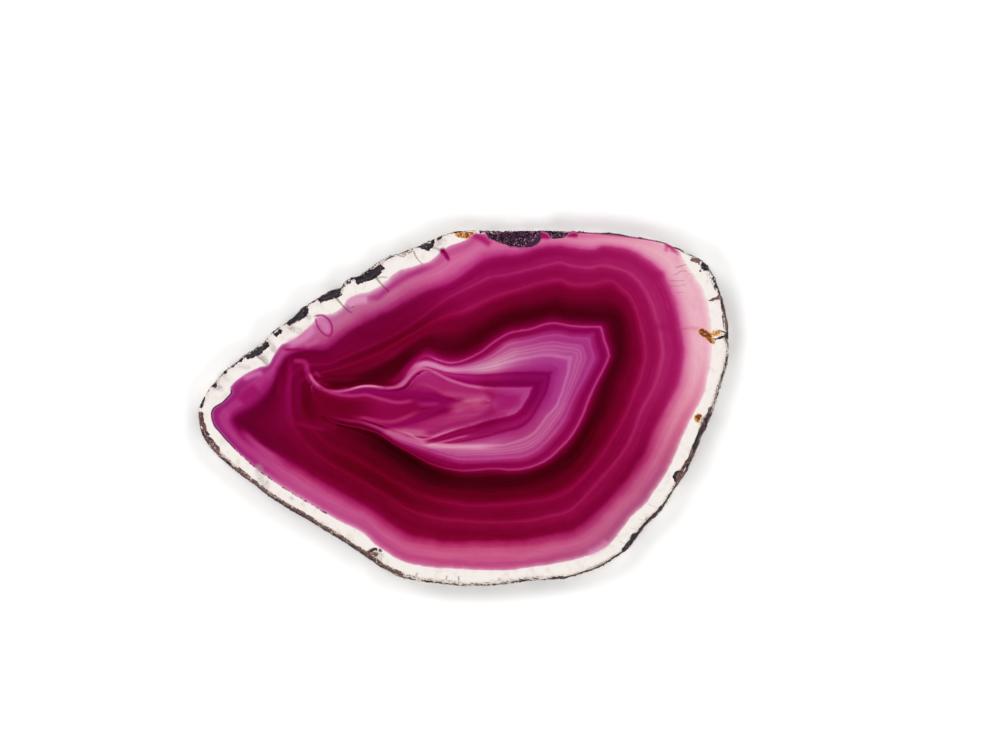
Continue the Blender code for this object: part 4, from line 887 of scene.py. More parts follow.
class Reading:
    """A number that changes over a surface. Python's operators combine readings through Math nodes."""

    def __init__(self, sheet: "NodeSheet", socket: bpy.types.NodeSocket) -> None:
        """Wraps the socket that gives the number, and the node tree that it belongs to."""
        self.sheet = sheet
        self.socket = socket

    def __add__(self, other: "Reading | float") -> "Reading":
        """This reading plus another."""
        return self.sheet.maths("ADD", self, other)

    __radd__ = __add__

    def __sub__(self, other: "Reading | float") -> "Reading":
        """This reading less another."""
        return self.sheet.maths("SUBTRACT", self, other)

    def __rsub__(self, other: float) -> "Reading":
        """A number less this reading."""
        return self.sheet.maths("SUBTRACT", other, self)

    def __mul__(self, other: "Reading | float") -> "Reading":
        """This reading times another."""
        return self.sheet.maths("MULTIPLY", self, other)

    __rmul__ = __mul__

    def __truediv__(self, other: "Reading | float") -> "Reading":
        """This reading divided by another."""
        return self.sheet.maths("DIVIDE", self, other)

    def __rtruediv__(self, other: float) -> "Reading":
        """A number divided by this reading."""
        return self.sheet.maths("DIVIDE", other, self)

    def __neg__(self) -> "Reading":
        """This reading with its sign turned."""
        return self.sheet.maths("MULTIPLY", self, -1.0)

    def __gt__(self, other: "Reading | float") -> "Reading":
        """1 where this reading is the greater, and 0 elsewhere."""
        return self.sheet.maths("GREATER_THAN", self, other)

    def at_least(self, other: "Reading | float") -> "Reading":
        """This reading, or the other where that is greater."""
        return self.sheet.maths("MAXIMUM", self, other)

    def faded(self) -> "Reading":
        """e to the power of minus this reading: the share of light that passes a dye of this strength."""
        return self.sheet.maths("EXPONENT", -self)

    def eased(self, low: float, high: float) -> "Reading":
        """Rises smoothly from 0 at low to 1 at high, or falls where low is the larger."""
        turned = low > high
        ends = (high, low, 1.0, 0.0) if turned else (low, high, 0.0, 1.0)
        settings = {"interpolation_type": "SMOOTHSTEP", "clamp": True}
        node = self.sheet.add("ShaderNodeMapRange", settings, dict(enumerate((self, *ends))))
        return Reading(self.sheet, node.outputs[0])

    def torn(self, teeth: "Reading", tear: Tear) -> "Reading":
        """This cover with a ragged edge, from teeth that swing round nought."""
        return (self * (teeth * tear.reach + tear.swell) - tear.level).eased(0.0, tear.soft)


class NodeSheet:
    """A node tree, of a material or of Geometry Nodes, that nodes are added to."""

    def __init__(self, tree: bpy.types.NodeTree) -> None:
        """Starts on a node tree, whose own nodes are removed."""
        self.tree = tree
        tree.nodes.clear()

    def add(
        self,
        kind: str,
        settings: Mapping[str, Any] | None = None,
        inputs: Mapping[int | str, Any] | None = None,
    ) -> bpy.types.Node:
        """Adds one node.

        Args:
            kind: The node's type.
            settings: What is set on the node itself, before its sockets. "stops" are a colour ramp's.
            inputs: For each input socket, by its name or number, a value, a reading or another node's socket.

        Returns:
            The new node.
        """
        node = self.tree.nodes.new(kind)
        for name, value in (settings or {}).items():
            if name == "stops":
                self.set_stops(node.color_ramp, value)
            else:
                setattr(node, name, value)
        for key, value in (inputs or {}).items():
            source = value.socket if isinstance(value, Reading) else value
            if isinstance(source, bpy.types.NodeSocket):
                self.tree.links.new(source, node.inputs[key])
            else:
                node.inputs[key].default_value = source
        return node

    @staticmethod
    def set_stops(ramp: bpy.types.ColorRamp, stops: Sequence[tuple[float, Colour]]) -> None:
        """Gives a colour ramp its stops, which replace the two that it starts with."""
        for _ in stops[2:]:
            ramp.elements.new(0.5)
        for element, (position, colour) in zip(ramp.elements, stops):
            element.position = position
            element.color = (*colour, 1.0)

    def maths(self, operation: str, *terms: "Reading | float") -> Reading:
        """The result of one Math node on readings or numbers."""
        node = self.add("ShaderNodeMath", {"operation": operation}, dict(enumerate(terms)))
        return Reading(self, node.outputs[0])

    def attribute(self, name: str) -> Reading:
        """The number that the mesh holds at each point under this name."""
        node = self.add("ShaderNodeAttribute", {"attribute_type": "GEOMETRY", "attribute_name": name})
        return Reading(self, node.outputs["Fac"])

    def place(self) -> bpy.types.NodeSocket:
        """The point on the surface, in the object's own coordinates."""
        return self.add("ShaderNodeTexCoord").outputs["Object"]

    def noise(self, cloud: Cloud, seed: Reading | None = None) -> Reading:
        """A cloudy pattern over the surface, with its own seed or one that differs from point to point."""
        sockets = {
            "Vector": self.place(),
            "W": cloud.seed if seed is None else seed,
            "Scale": 1 / (cloud.size * MM),
            "Detail": cloud.detail,
            "Roughness": cloud.roughness,
        }
        return Reading(self, self.add("ShaderNodeTexNoise", {"noise_dimensions": "4D"}, sockets).outputs[0])

    def waves(self, cloud: Cloud, seed: Reading | None = None) -> Reading:
        """The same pattern with its middle at nought."""
        return self.noise(cloud, seed) - MIDDLE

    def mixed(
        self, share: Reading | float, first: Any, second: Any, blend: str = "MIX"
    ) -> bpy.types.NodeSocket:
        """Two colours mixed.

        Args:
            share: How much of the second colour there is.
            first: The first colour, as three numbers or a socket.
            second: The second colour, in the same way.
            blend: How the second goes over the first.

        Returns:
            The socket with the mixed colour.
        """
        sockets = {0: share}
        for number, colour in ((6, first), (7, second)):
            sockets[number] = colour if isinstance(colour, bpy.types.NodeSocket) else (*colour, 1.0)
        settings = {"data_type": "RGBA", "blend_type": blend, "clamp_factor": True}
        return self.add("ShaderNodeMix", settings, sockets).outputs[2]

    def bump(self, height: Reading, strength: float, distance: float) -> bpy.types.NodeSocket:
        """A bumpy surface's normal, from its height from 0 to 1 and the depth of its bumps in millimetres."""
        sockets = {"Height": height, "Strength": strength, "Distance": distance * MM}
        return self.add("ShaderNodeBump", {}, sockets).outputs["Normal"]


def new_material(name: str) -> tuple[bpy.types.Material, NodeSheet]:
    """An empty material and the sheet that its nodes go on."""
    material = bpy.data.materials.new(name)
    material.use_nodes = True
    return material, NodeSheet(material.node_tree)


def finish_material(sheet: NodeSheet, **sockets: Any) -> None:
    """Adds the shader and the output, with the shader's sockets named with lines for their spaces."""
    named = {name.replace("_", " "): value for name, value in sockets.items()}
    shader = sheet.add("ShaderNodeBsdfPrincipled", {}, named)
    sheet.add("ShaderNodeOutputMaterial", {}, {"Surface": shader.outputs["BSDF"]})


@dataclass(frozen=True)
class PolishedAgate:
    """The polished faces: milky chalcedony that took the dye in bands.

    Attributes:
        white: The colour of the stone with no dye in it.
        haze: The colour of bruised stone.
        crack, cloud: What a crack and the clouds of the undyed rim do to the colour that they cross.
        clearness: How much of the light goes through the stone and not back from just under its face.
        gloss: The roughness of the polish.
        crust_bumps: How strong the bumps of the crust are, and how deep in millimetres.
        waver: How far the bands waver, in growth lines.
        lamination: How much the finest layers differ in dye.
        laminae: How fast those layers follow one another from growth to growth.
        mottle: How much the dye differs from place to place within a band.
        undyed: The densities between which the stone counts as undyed.
        limit: The growth at which the dye starts.
        ink_outside, ink_inside: Where the ink fades outside and inside that limit, in growth lines.
        band_scales: More than the density, green and blue of any band.
        uptake_scales: The same for the sides' factors.

    The pairs laminated, clouded, haze_gaps and rust_depth are where in their pattern such patches start, and
    where they are whole.
    """

    white: Colour = (0.985, 0.94, 0.89)
    rust: Colour = (0.20, 0.045, 0.012)
    ochre: Colour = (0.78, 0.36, 0.10)
    ink: Colour = (0.030, 0.0, 0.040)
    haze: Colour = (0.42, 0.33, 0.33)
    crack: Colour = (0.22, 0.20, 0.17)
    cloud: Colour = (0.78, 0.70, 0.68)
    clearness: float = 0.2
    gloss: float = 0.1
    crust_roughness: float = 0.2
    crust_bumps: Place = (0.3, 0.08)
    bending: float = 1.54
    waver: float = 0.05
    slow_swing: float = 2.0
    lamination: float = 0.40
    laminae: float = 9.0
    laminated: Place = (0.36, 0.58)
    mottle: float = 0.14
    undyed: Place = (0.3, 0.05)
    clouded: Place = (0.48, 0.75)
    cloud_strength: float = 0.5
    limit: float = 1.0
    ink_outside: Place = (-0.07, -0.02)
    ink_inside: Place = (0.05, 0.015)
    ink_hold: float = 1.1
    ink_soft: float = 0.18
    ink_strength: float = 0.9
    haze_gaps: Place = (-0.2, 0.15)
    rust_swing: Place = (1.5, 2.0)
    rust_level: float = 0.75
    rust_depth: Place = (-0.1, 0.3)
    rust_tear: Tear = Tear(level=0.35, soft=0.35)
    band_scales: Colour = (4.0, 8.0, 4.0)
    uptake_scales: Colour = (4.0, 2.0, 2.0)
    slow_waves: Cloud = Cloud(2.4)
    quick_waves: Cloud = Cloud(0.9, 3.0)
    layering: Cloud = Cloud(7.0, detail=4.0, roughness=0.6)
    mottling: Cloud = Cloud(1.6, 17.0, 4.0, 0.6)
    clearings: Cloud = Cloud(9.0, 33.0, 1.0)
    rim_clouds: Cloud = Cloud(1.3, 7.0, 4.0, 0.6)
    dashes: Cloud = Cloud(0.8, 13.0, 3.0, 0.6)
    ragged: Cloud = Cloud(0.8, 11.0, 5.0, 0.7)
    flecks: Cloud = Cloud(0.35, 19.0, 4.0, 0.7)
    crust_grit: Cloud = Cloud(0.25, detail=3.0)

    def make(self) -> bpy.types.Material:
        """The material, with its colour worked out from the dye at each point."""
        material, sheet = new_material("polished_agate")
        growth = self.wavering_growth(sheet)
        density, green, blue = self.dye(sheet, growth)
        undyed = density.eased(*self.undyed)
        density = density * self.layers(sheet, growth)
        bare = 1 - sheet.attribute(MarkKind.DYE.value)
        density = density * bare + sheet.attribute("mark_density")
        green = green * bare + sheet.attribute("mark_green")
        blue = blue * bare + sheet.attribute("mark_blue")
        colour = self.seen_through(sheet, density.at_least(0.0), green, blue)
        clouds = undyed * sheet.noise(self.rim_clouds).eased(*self.clouded) * self.cloud_strength
        colour = sheet.mixed(clouds, colour, self.cloud, "MULTIPLY")
        colour = self.inked(sheet, colour, growth)
        colour, crust = self.stained(sheet, colour)
        finish_material(
            sheet,
            Base_Color=colour,
            Roughness=crust * self.crust_roughness + self.gloss,
            IOR=self.bending,
            Transmission_Weight=self.clearness,
            Normal=sheet.bump(crust * sheet.noise(self.crust_grit), *self.crust_bumps),
        )
        return material

    def wavering_growth(self, sheet: NodeSheet) -> Reading:
        """The growth at each point, with the small waves that every band has."""
        waves = sheet.waves(self.slow_waves) * self.slow_swing + sheet.waves(self.quick_waves)
        return sheet.attribute("growth") + waves * self.waver

    def dye(self, sheet: NodeSheet, growth: Reading) -> list[Reading]:
        """The dye's density and what it does to green and blue, blended from the sides."""
        whole = self.ramp(sheet, growth, BANDS, self.band_scales)
        by_side = []
        for side, uptakes in UPTAKES.items():
            share = sheet.attribute(side.share_name)
            factors = self.ramp(sheet, growth, uptakes, self.uptake_scales)
            by_side.append([factor * share for factor in factors])
        return [band * sum(factors) for band, factors in zip(whole, zip(*by_side))]

    @staticmethod
    def ramp(
        sheet: NodeSheet, growth: Reading, steps: Sequence[Band | Uptake], scales: Colour
    ) -> list[Reading]:
        """Reads three numbers over growth from the channels of colour ramps.

        Args:
            sheet: The sheet that the ramps go on.
            growth: The growth at each point.
            steps: What the numbers are at some growths, in order.
            scales: More than the largest of each of the three numbers, because a ramp holds no more than 1.

        Returns:
            The density, the green and the blue.
        """
        colour = None
        for first in range(0, len(steps) - 1, MOST_STOPS - 1):
            stretch = steps[first:first + MOST_STOPS]
            start, end = stretch[0].growth, stretch[-1].growth
            stops = []
            for step in stretch:
                channels = tuple(value / scale for value, scale in zip(step.strengths(), scales))
                stops.append(((step.growth - start) / (end - start), channels))
            along = (growth - start) / (end - start)
            ramp = sheet.add("ShaderNodeValToRGB", {"stops": stops}, {"Fac": along}).outputs["Color"]
            colour = sheet.mixed(growth > start, colour, ramp) if first else ramp
        parts = sheet.add("ShaderNodeSeparateColor", {}, {0: colour}).outputs
        return [Reading(sheet, part) * scale for part, scale in zip(parts, scales)]

    def layers(self, sheet: NodeSheet, growth: Reading) -> Reading:
        """How much more or less dye the finest layers took, around 1."""
        fine = sheet.waves(self.layering, growth * (self.laminae * (self.layering.size * MM)))
        clear = sheet.noise(self.clearings).eased(*self.laminated)
        return 1 + fine * clear * self.lamination + sheet.waves(self.mottling) * self.mottle

    def seen_through(
        self, sheet: NodeSheet, density: Reading, green: Reading, blue: Reading
    ) -> bpy.types.NodeSocket:
        """The stone's colour through the dye: each of red, green and blue fades with the density."""
        channels = (density.faded(), (density * green).faded(), (density * blue).faded())
        lit = [channel * full for channel, full in zip(channels, self.white)]
        return sheet.add("ShaderNodeCombineColor", {}, dict(enumerate(lit))).outputs[0]

    def inked(self, sheet: NodeSheet, colour: bpy.types.NodeSocket, growth: Reading) -> bpy.types.NodeSocket:
        """The colour with the dark line, whole or in dashes, that stands along the limit of the dye."""
        past = growth - self.limit
        near_limit = past.eased(*self.ink_outside) * past.eased(*self.ink_inside)
        ink = sheet.attribute(MarkKind.INK.value) * self.ink_hold + sheet.noise(self.dashes) - 1.0
        return sheet.mixed(ink.eased(0.0, self.ink_soft) * near_limit * self.ink_strength, colour, self.ink)

    def stained(
        self, sheet: NodeSheet, colour: bpy.types.NodeSocket
    ) -> tuple[bpy.types.NodeSocket, Reading]:
        """The colour under cracks, haze, rust and what is left of the rind, and where that crust lies."""
        colour = sheet.mixed(sheet.attribute(MarkKind.CRACK.value), colour, self.crack, "MULTIPLY")
        ragged = sheet.waves(self.ragged)
        haze = sheet.attribute(MarkKind.HAZE.value) * ragged.eased(*self.haze_gaps)
        colour = sheet.mixed(haze, colour, self.haze)
        rust = sheet.attribute(MarkKind.RUST.value)
        from_ragged, from_flecks = self.rust_swing
        strength = rust + ragged * from_ragged + sheet.waves(self.flecks) * from_flecks
        stain = sheet.mixed((strength - self.rust_level).eased(*self.rust_depth), self.ochre, self.rust)
        colour = sheet.mixed(rust.torn(ragged, self.rust_tear), colour, stain)
        return RindColours().over(sheet, colour)


@dataclass(frozen=True)
class RindColours:
    """The colours of the nodule's skin: pale chalk, with mauve-brown clay and blue-black iron in patches.

    Where an attribute is a pair, it is where in their pattern such patches start, and where they are whole.

    Attributes:
        patch: How much of what is under them most patches hide.
        fleck: How much the pale flecks in the clay hide.
        dye_reach: How far the dye seeped into the chalk.
        low_swing: How uneven the upper limit of the lower rim's crust is.
        clay_level: How strong the clay's pattern has to be on the lower rim, where it covers less below this.
        clay_low: How much its pattern counts there.
        soot_level: The same level for the soot.
        soot_low: How much the soot's pattern counts there.
        soot_lost: How much of the soot that was seen on the front edge is lost lower down.
    """

    chalk: Colour = (0.74, 0.66, 0.60)
    beige: Colour = (0.46, 0.33, 0.26)
    mauve: Colour = (0.17, 0.078, 0.072)
    umber: Colour = (0.070, 0.028, 0.026)
    iron: Colour = (0.014, 0.008, 0.014)
    iron_light: Colour = (0.046, 0.030, 0.044)
    cavity: Colour = (0.045, 0.012, 0.035)
    dyed: Colour = (0.42, 0.06, 0.20)
    stains: Cloud = Cloud(1.1, 2.0, 4.0, 0.65)
    pores: Cloud = Cloud(0.28, 5.0, 3.0, 0.6)
    seep: Cloud = Cloud(1.3, 30.0, 5.0, 0.6)
    broad: Cloud = Cloud(2.4, 1.0, 3.0, 0.6)
    teeth: Cloud = Cloud(0.9, 6.0, 6.0, 0.7)
    notches: Cloud = Cloud(0.6, 14.0, 6.0, 0.75)
    grit: Cloud = Cloud(0.3, 8.0, 4.0, 0.65)
    drifts: Cloud = Cloud(1.7, 21.0, 4.0, 0.6)
    stained: Place = (0.47, 0.64)
    pored: Place = (0.60, 0.68)
    dye_seeped: Place = (0.0, 0.6)
    dark_clay: Place = (0.50, 0.66)
    pale_clay: Place = (0.05, 0.18)
    gritty_clay: Place = (0.50, 0.36)
    light_iron: Place = (0.48, 0.66)
    low: Place = (0.2, 0.8)
    drifted: Place = (0.40, 0.60)
    patch: float = 0.8
    fleck: float = 0.7
    dye_reach: float = 1.3
    low_swing: float = 6.0
    clay_level: float = 0.55
    clay_low: float = 1.3
    soot_level: float = 0.35
    soot_low: float = 0.85
    soot_lost: float = 0.65
    clay_tear: Tear = Tear()
    soot_tear: Tear = Tear(swell=1.25)
    vug_tear: Tear = Tear(reach=3.0, level=0.4, soft=0.15)

    def bare(self, sheet: NodeSheet) -> bpy.types.NodeSocket:
        """The colour of the chalk, with beige stains, dye that seeped in and dark pores."""
        stains = sheet.noise(self.stains).eased(*self.stained) * self.patch
        chalk = sheet.mixed(stains, self.chalk, self.beige)
        seeped = sheet.attribute("dyed_rim") * self.dye_reach - sheet.noise(self.seep)
        chalk = sheet.mixed(seeped.eased(*self.dye_seeped), chalk, self.dyed)
        return sheet.mixed(sheet.noise(self.pores).eased(*self.pored) * self.patch, chalk, self.umber)

    def over(self, sheet: NodeSheet, colour: bpy.types.NodeSocket) -> tuple[bpy.types.NodeSocket, Reading]:
        """Lays the clay and the soot over a colour.

        Args:
            sheet: The sheet that the nodes go on.
            colour: The colour beneath.

        Returns:
            The colour with both on it, and how much of it they hide.
        """
        broad = sheet.noise(self.broad)
        teeth = sheet.waves(self.teeth)
        notches = sheet.waves(self.notches)
        grit = sheet.noise(self.grit)
        clay = sheet.mixed(broad.eased(*self.dark_clay), self.mauve, self.umber)
        clay = sheet.mixed(teeth.eased(*self.pale_clay) * self.fleck, clay, self.beige)
        clay = sheet.mixed(grit.eased(*self.gritty_clay) * self.patch, clay, self.umber)
        iron = sheet.mixed(grit.eased(*self.light_iron), self.iron, self.iron_light)
        lower = (sheet.attribute("below") * ((broad - MIDDLE) * self.low_swing + 1)).eased(*self.low)
        drifts = sheet.noise(self.drifts).eased(*self.drifted)
        low_clay = (broad.eased(*self.drifted) - self.clay_level) * lower * self.clay_low
        low_soot = (drifts - self.soot_level) * lower * self.soot_low
        clay_here = sheet.attribute(MarkKind.CLAY.value) + low_clay
        soot_here = sheet.attribute(MarkKind.SOOT.value) * (1 - lower * self.soot_lost) + low_soot
        clayey = clay_here.torn(teeth, self.clay_tear)
        sooty = soot_here.torn(notches, self.soot_tear)
        vug = sheet.attribute("vug").torn(notches, self.vug_tear)
        colour = sheet.mixed(sooty, sheet.mixed(clayey, colour, clay), iron)
        return sheet.mixed(vug, colour, self.cavity), clayey.at_least(sooty).at_least(vug)


@dataclass(frozen=True)
class RoughRind:
    """The nodule's outside, pitted and gritty.

    Attributes:
        pit_smooth: How much smoother a pit is than what lies between the pits.
        pitted: Where in their pattern the pits start, and where they are deepest.
        bump_shares: How much of the bumps comes from grit, and how much from pits.
        bumps: How strong the bumps are, and how deep in millimetres.
    """

    colours: RindColours = RindColours()
    roughness: float = 0.78
    pit_smooth: float = 0.3
    pitted: Place = (0.35, 0.2)
    bump_shares: Place = (0.6, 0.4)
    bumps: Place = (0.7, 0.12)
    shine: float = 0.2
    pits: Cloud = Cloud(0.8, 2.0, 4.0, 0.6)
    grit: Cloud = Cloud(0.22, 5.0, 3.0, 0.6)

    def make(self) -> bpy.types.Material:
        """The material, with its colours in patches and its grit as bumps."""
        material, sheet = new_material("rough_rind")
        pits, grit = sheet.noise(self.pits), sheet.noise(self.grit)
        from_grit, from_pits = self.bump_shares
        colour, _ = self.colours.over(sheet, self.colours.bare(sheet))
        finish_material(
            sheet,
            Base_Color=colour,
            Roughness=self.roughness - pits.eased(*self.pitted) * self.pit_smooth,
            Specular_IOR_Level=self.shine,
            Normal=sheet.bump(grit * from_grit + pits * from_pits, *self.bumps),
        )
        return material


@dataclass(frozen=True)
class QuartzDruse:
    """Small clear to smoky quartz points, cloudier in places."""

    clear: Colour = (0.36, 0.12, 0.26)
    smoky: Colour = (0.040, 0.011, 0.032)
    smoke: Cloud = Cloud(0.6, 4.0)
    smoked: Place = (0.50, 0.66)
    roughness: float = 0.12
    bending: float = 1.545
    clearness: float = 0.2

    def make(self) -> bpy.types.Material:
        """The material."""
        material, sheet = new_material("vug_quartz")
        finish_material(
            sheet,
            Base_Color=sheet.mixed(sheet.noise(self.smoke).eased(*self.smoked), self.smoky, self.clear),
            Roughness=self.roughness,
            IOR=self.bending,
            Transmission_Weight=self.clearness,
        )
        return material


@dataclass(frozen=True)
class IronGrains:
    """Grains of iron oxide and clay stuck to the rind: mostly dark, with some brown and a few pale ones."""

    dark: Colour = (0.018, 0.015, 0.018)
    brown: Colour = (0.12, 0.065, 0.045)
    pale: Colour = (0.36, 0.29, 0.25)
    kinds: Cloud = Cloud(0.8, 9.0, 1.0)
    browned: Place = (0.46, 0.56)
    paled: Place = (0.62, 0.68)
    roughness: float = 0.7
    shine: float = 0.4

    def make(self) -> bpy.types.Material:
        """The material."""
        material, sheet = new_material("rim_grains")
        kind = sheet.noise(self.kinds)
        colour = sheet.mixed(kind.eased(*self.browned), self.dark, self.brown)
        colour = sheet.mixed(kind.eased(*self.paled), colour, self.pale)
        finish_material(sheet, Base_Color=colour, Roughness=self.roughness, Specular_IOR_Level=self.shine)
        return material


class NodeRecipe:
    """A Geometry Nodes tree with named sizes. An object wears it and is then turned into a plain mesh."""

    DETAIL = 2.0

    def __init__(self, name: str, sizes: Mapping[str, float | int | bpy.types.Material]) -> None:
        """Makes the tree's sockets.

        Args:
            name: The tree's name.
            sizes: The tree's inputs, by name, with their values.
        """
        self.tree = bpy.data.node_groups.new(name, "GeometryNodeTree")
        self.sizes = dict(sizes)
        self.tree.interface.new_socket("Geometry", in_out="INPUT", socket_type="NodeSocketGeometry")
        self.identifiers = {}
        for key, value in self.sizes.items():
            kind = "Int" if isinstance(value, int) else "Float"
            if isinstance(value, bpy.types.Material):
                kind = "Material"
            socket = self.tree.interface.new_socket(key, in_out="INPUT", socket_type="NodeSocket" + kind)
            self.identifiers[key] = socket.identifier
        self.tree.interface.new_socket("Geometry", in_out="OUTPUT", socket_type="NodeSocketGeometry")
        self.sheet = NodeSheet(self.tree)
        self.inputs = self.sheet.add("NodeGroupInput").outputs

    def size(self, name: str) -> Reading:
        """One of the tree's named inputs."""
        return Reading(self.sheet, self.inputs[name])

    def attribute(self, name: str) -> Reading:
        """The number that the mesh holds at each point under this name."""
        node = self.sheet.add("GeometryNodeInputNamedAttribute", {"data_type": "FLOAT"}, {"Name": name})
        return Reading(self.sheet, node.outputs[0])

    def vector(self, operation: str, inputs: Mapping[int | str, Any]) -> bpy.types.NodeSocket:
        """The result of one Vector Math node."""
        return self.sheet.add("ShaderNodeVectorMath", {"operation": operation}, inputs).outputs[0]

    def random(self, low: Reading | float, high: Reading | float, offset: int) -> Reading:
        """A different number for each copy, between two others, from the tree's own seed."""
        sockets = {2: low, 3: high, "Seed": self.size("Seed") + offset}
        node = self.sheet.add("FunctionNodeRandomValue", {"data_type": "FLOAT"}, sockets)
        return Reading(self.sheet, node.outputs[1])

    def random_vector(self, low: Colour, high: Colour, offset: int) -> bpy.types.NodeSocket:
        """Three such numbers for each copy."""
        sockets = {0: low, 1: high, "Seed": self.size("Seed") + offset}
        return self.sheet.add("FunctionNodeRandomValue", {"data_type": "FLOAT_VECTOR"}, sockets).outputs[0]

    def noise(self, place: bpy.types.NodeSocket, size: Reading, offset: int) -> Reading:
        """A cloudy pattern in space, from the tree's own seed."""
        seed = self.size("Seed") + offset
        sockets = {"Vector": place, "W": seed, "Scale": 1.0 / size, "Detail": self.DETAIL}
        node = self.sheet.add("ShaderNodeTexNoise", {"noise_dimensions": "4D"}, sockets)
        return Reading(self.sheet, node.outputs[0])

    def scatter(
        self, shape: bpy.types.NodeSocket, most: float, where: Reading, scale: Any, tilt: float
    ) -> bpy.types.NodeSocket:
        """Stands copies of a shape on the faces that the tree is given.

        Args:
            shape: What is copied.
            most: As many copies as a square metre could have.
            where: How much of that there is at each point, from 0 to 1.
            scale: The size of each copy.
            tilt: How far a copy may tilt, in radians. It may turn all the way round.

        Returns:
            The copies.
        """
        sockets = {
            "Mesh": self.inputs["Geometry"],
            "Distance Min": self.size("Spacing"),
            "Density Max": most,
            "Density Factor": where,
            "Seed": self.size("Seed"),
        }
        settings = {"distribute_method": "POISSON"}
        points = self.sheet.add("GeometryNodeDistributePointsOnFaces", settings, sockets).outputs
        sockets = {
            "Points": points["Points"],
            "Instance": shape,
            "Rotation": points["Rotation"],
            "Scale": scale,
        }
        stood = self.sheet.add("GeometryNodeInstanceOnPoints", {}, sockets).outputs[0]
        turn = self.random_vector((-tilt, -tilt, -math.pi), (tilt, tilt, math.pi), 2)
        sockets = {"Instances": stood, "Rotation": turn}
        return self.sheet.add("GeometryNodeRotateInstances", {}, sockets).outputs[0]

    def end(self, shape: bpy.types.NodeSocket, *dressings: tuple[str, Reading | None]) -> None:
        """Closes the tree: copies made real, then the materials.

        Args:
            shape: The finished geometry.
            dressings: For each material, the name of its input, and where it goes if that isn't everywhere.
        """
        shape = self.sheet.add("GeometryNodeRealizeInstances", {}, {"Geometry": shape}).outputs[0]
        for name, where in dressings:
            sockets = {"Geometry": shape, "Material": self.inputs[name]}
            if where is not None:
                sockets["Selection"] = where
            shape = self.sheet.add("GeometryNodeSetMaterial", {}, sockets).outputs[0]
        self.sheet.add("NodeGroupOutput", {}, {0: shape})

    def grow(self, source: bpy.types.Object, name: str) -> bpy.types.Mesh:
        """Lets an object wear the tree, and takes the result as a plain mesh.

        Args:
            source: The object, which loses the modifier again.
            name: The new mesh's name.

        Returns:
            The finished mesh.
        """
        modifier = source.modifiers.new(self.tree.name, "NODES")
        modifier.node_group = self.tree
        for key, value in self.sizes.items():
            modifier[self.identifiers[key]] = value
        depsgraph = bpy.context.evaluated_depsgraph_get()
        mesh = bpy.data.meshes.new_from_object(
            source.evaluated_get(depsgraph), preserve_all_data_layers=True, depsgraph=depsgraph
        )
        source.modifiers.remove(modifier)
        mesh.name = name
        return mesh


class RindRelief(NodeRecipe):
    """Roughens the rind and gives the slab its two materials."""

    ROUGH_FROM = 0.001

    def __init__(self, polish: bpy.types.Material, rind: bpy.types.Material) -> None:
        """Builds the tree.

        Args:
            polish: The material of the sawn faces.
            rind: The material of the rough edge.
        """
        super().__init__(
            "rind_relief",
            {
                "Swell": 0.12 * MM,
                "Lump Size": 1.5 * MM,
                "Lump Height": 0.5 * MM,
                "Grit Size": 0.45 * MM,
                "Grit Height": 0.3 * MM,
                "Seed": 5,
                "Polish": polish,
                "Rind": rind,
            },
        )
        place = self.sheet.add("GeometryNodeInputPosition").outputs[0]
        normal = self.sheet.add("GeometryNodeInputNormal").outputs[0]
        rough = self.attribute("rind")
        lumps = (self.noise(place, self.size("Lump Size"), 0) - MIDDLE) * self.size("Lump Height")
        grit = (self.noise(place, self.size("Grit Size"), 1) - MIDDLE) * self.size("Grit Height")
        relief = self.vector("SCALE", {0: normal, "Scale": (self.size("Swell") + lumps + grit) * rough})
        sockets = {"Geometry": self.inputs["Geometry"], "Offset": relief}
        shape = self.sheet.add("GeometryNodeSetPosition", {}, sockets).outputs[0]
        self.end(shape, ("Polish", None), ("Rind", rough > self.ROUGH_FROM))


class QuartzPoints(NodeRecipe):
    """Covers the pits of the rim with small six-sided crystals."""

    MOST = 2.0e7
    TILT = 0.6
    AXIS_SHARE = 0.2

    def __init__(self, quartz: bpy.types.Material) -> None:
        """Builds the tree.

        Args:
            quartz: The crystals' material.
        """
        super().__init__(
            "quartz_points",
            {
                "Spacing": 0.34 * MM,
                "Radius": 0.17 * MM,
                "Length": 0.5 * MM,
                "Tip": 0.2 * MM,
                "Smallest": 0.5,
                "Largest": 1.35,
                "Seed": 11,
                "Quartz": quartz,
            },
        )
        where = self.attribute("vug") * self.attribute("rind")
        scale = self.random(self.size("Smallest"), self.size("Largest"), 1)
        self.end(self.scatter(self.crystal(), self.MOST, where, scale, self.TILT), ("Quartz", None))

    def crystal(self) -> bpy.types.NodeSocket:
        """One crystal: a six-sided column whose fan top is drawn up to a point."""
        sockets = {"Vertices": 6, "Radius": self.size("Radius"), "Depth": self.size("Length")}
        column = self.sheet.add("GeometryNodeMeshCylinder", {"fill_type": "TRIANGLE_FAN"}, sockets)
        place = self.sheet.add("GeometryNodeInputPosition").outputs[0]
        parts = self.sheet.add("ShaderNodeSeparateXYZ", {}, {0: place}).outputs
        x, y, z = (Reading(self.sheet, part) for part in parts)
        near_axis = self.size("Radius") * self.AXIS_SHARE > self.sheet.maths("SQRT", x * x + y * y)
        raised = self.sheet.add("ShaderNodeCombineXYZ", {}, {"Z": self.size("Tip")}).outputs[0]
        top = near_axis * (z > 0.0)
        sockets = {"Geometry": column.outputs["Mesh"], "Selection": top, "Offset": raised}
        return self.sheet.add("GeometryNodeSetPosition", {}, sockets).outputs[0]


